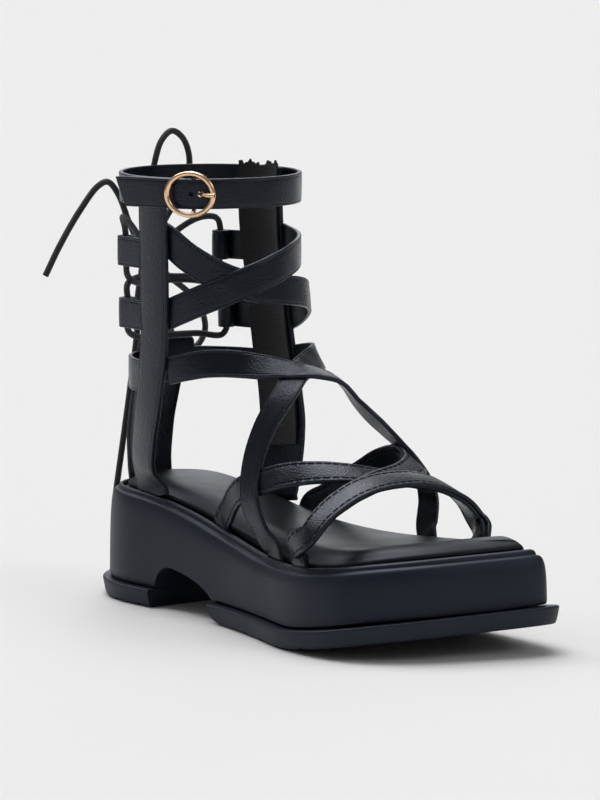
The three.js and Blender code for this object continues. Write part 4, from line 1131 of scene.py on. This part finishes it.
# %% Zip tape
TAPE_WIDE, TAPE_COLUMNS = 25, 50
tape_top = {**PANEL_ROWS[0], "point": Vector((51, 34.9, 191))}
tape_rows = narrowed([tape_top, *PANEL_ROWS[1:6], free(71.5, 29.6, 67.5, 90, bow=160)], TAPE_WIDE)
tape_frames = frames_along(tape_rows, TAPE_WIDE, 60)
FRAY = [(0.8, 1.1, 0.6), (0.45, 2.9, 1), (0.15, 7, 0)]  # size, rate and start of each ripple
tape_rings = []
for i, (middle, out, across, wide, bow) in enumerate(tape_frames):
    places = []
    for side in (1, -1):
        for c in range(TAPE_COLUMNS + 1):
            offset = (c / TAPE_COLUMNS - 0.5) * wide * side
            angle = offset / bow
            level = -1.3 + (0.9 if side > 0 else 0)
            place = middle + across * (bow + level) * math.sin(angle)
            place -= out * (bow - (bow + level) * math.cos(angle))
            if i == 0:
                # raw ends: two tapes with a gap between them, frayed unevenly
                fray = sum(size * math.sin(offset * rate + start) for size, rate, start in FRAY)
                place.z += fray - 0.6 - 3.2 * math.exp(-(offset / 1.6) ** 2)
            places.append(station(*place))
    tape_rings.append(places)
tape = skin("zip_tape", tape_rings, levels=0)
smooth(tape, 40)
finished(tape, TAPE, "zip_chain")

# %% Zip teeth
TOOTH_WIDE, TOOTH_DEEP, TOOTH_TALL, TOOTH_STEP = 2.7, 1.7, 0.86, 0.62
tooth_line = evenly([f[0] for f in tape_frames], 116)[2:-4]
teeth = []
for k, middle in enumerate(tooth_line):
    _, out, across, _, _ = min(tape_frames, key=lambda f: (f[0] - middle).length)
    nothing_selected()
    bpy.ops.mesh.primitive_cube_add(size=1, location=(0, 0, 0))
    tooth = named("tooth")
    if k == 0:
        modify(tooth, "BEVEL", width=0.16, segments=2)
        first_tooth = tooth.data.copy()
    else:
        tooth.data = first_tooth.copy()
    down = out.cross(across).normalized()
    side = across * (TOOTH_STEP if k % 2 else -TOOTH_STEP) + out * 0.15
    for vertex in tooth.data.vertices:
        x, y, z = vertex.co
        corner = across * x * TOOTH_WIDE + down * y * TOOTH_TALL + out * z * TOOTH_DEEP
        vertex.co = station(*(middle + side + corner))
    teeth.append(tooth)
teeth = joined("zip_teeth", teeth)
facing_out(teeth)
smooth(teeth, 40)
finished(teeth, NYLON, "zip_chain")

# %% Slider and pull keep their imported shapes
for node_name in ("zip_slider", "zip_pull"):
    hardware = frame["nodes"][node_name]
    for place in hardware.material_slots:
        place.material = DARK_PLATE

# %% [markdown]
# The shoe stands on a wide pale floor. Black leather only shows what it mirrors, so the studio is a
# dim sky with soft boxes painted into it by direction: a broad one overhead, one low behind that
# glances off the insole and the straps, and two small ones high behind and in front for the folds.
# They are endlessly far away, so they light the floor to one even tone from front to back.

# %% Floor
nothing_selected()
bpy.ops.mesh.primitive_plane_add(size=60, location=(0, 0, -0.0002))
floor = named("pale_floor")
floor_material, tree, shader = new_material("pale_paper")
fill(tree, shader, Base_Color=linear("#e3e2df"), Roughness=1, Specular_IOR_Level=0)
floor.data.materials.append(floor_material)

# %% Soft boxes in the sky
world = bpy.data.worlds.new("soft_studio")
bpy.context.scene.world = world
world.use_nodes = True
tree = world.node_tree
background = tree.nodes["Background"]
towards = node(tree, "ShaderNodeTexCoord").outputs["Generated"]
DIM_SKY = 0.22
SOFT_BOXES = [
    {"towards": (-0.28, 0.06, 1), "wide": 22, "glow": 3.95},
    {"towards": (-0.8, 0.62, 0.42), "wide": 12, "glow": 1.9},
    {"towards": (-0.75, -0.2, 0.8), "wide": 9, "glow": 6},
    {"towards": (0.9, 0.4, 0.7), "wide": 10, "glow": 3},
]
EDGE = 5  # degrees of softness on each side of a box's edge
glow = DIM_SKY
for soft in SOFT_BOXES:
    centre = Vector(soft["towards"]).normalized()
    aimed = node(tree, "ShaderNodeVectorMath", {"operation": "DOT_PRODUCT"}, i0=towards, i1=centre)
    inner, outer = (math.cos(math.radians(soft["wide"] + spread)) for spread in (-EDGE, EDGE))
    patch = node(tree, "ShaderNodeMapRange", {"interpolation_type": "SMOOTHSTEP"},
                 i0=aimed.outputs["Value"], i1=outer, i2=inner, i3=0.0, i4=soft["glow"])
    glow = node(tree, "ShaderNodeMath", {"operation": "ADD"}, i0=patch, i1=glow)
fill(tree, background, i0=linear("#fafbff"), i1=glow)
bpy.context.scene.view_settings.view_transform = "Standard"

# %% [markdown]
# A broad, weak sun from above and behind on the left deepens the shadow under the toe a little.

# %% Sun
sun_data = bpy.data.lights.new("broad_sun", "SUN")
sun_data.energy = 0.5
sun_data.angle = math.radians(30)
sun = placed("broad_sun", sun_data)
sun.location = (-1.0, 0.5, 2.0)
sun.rotation_euler = Vector((1.0, -0.5, -2.0)).to_track_quat("-Z", "Y").to_euler()
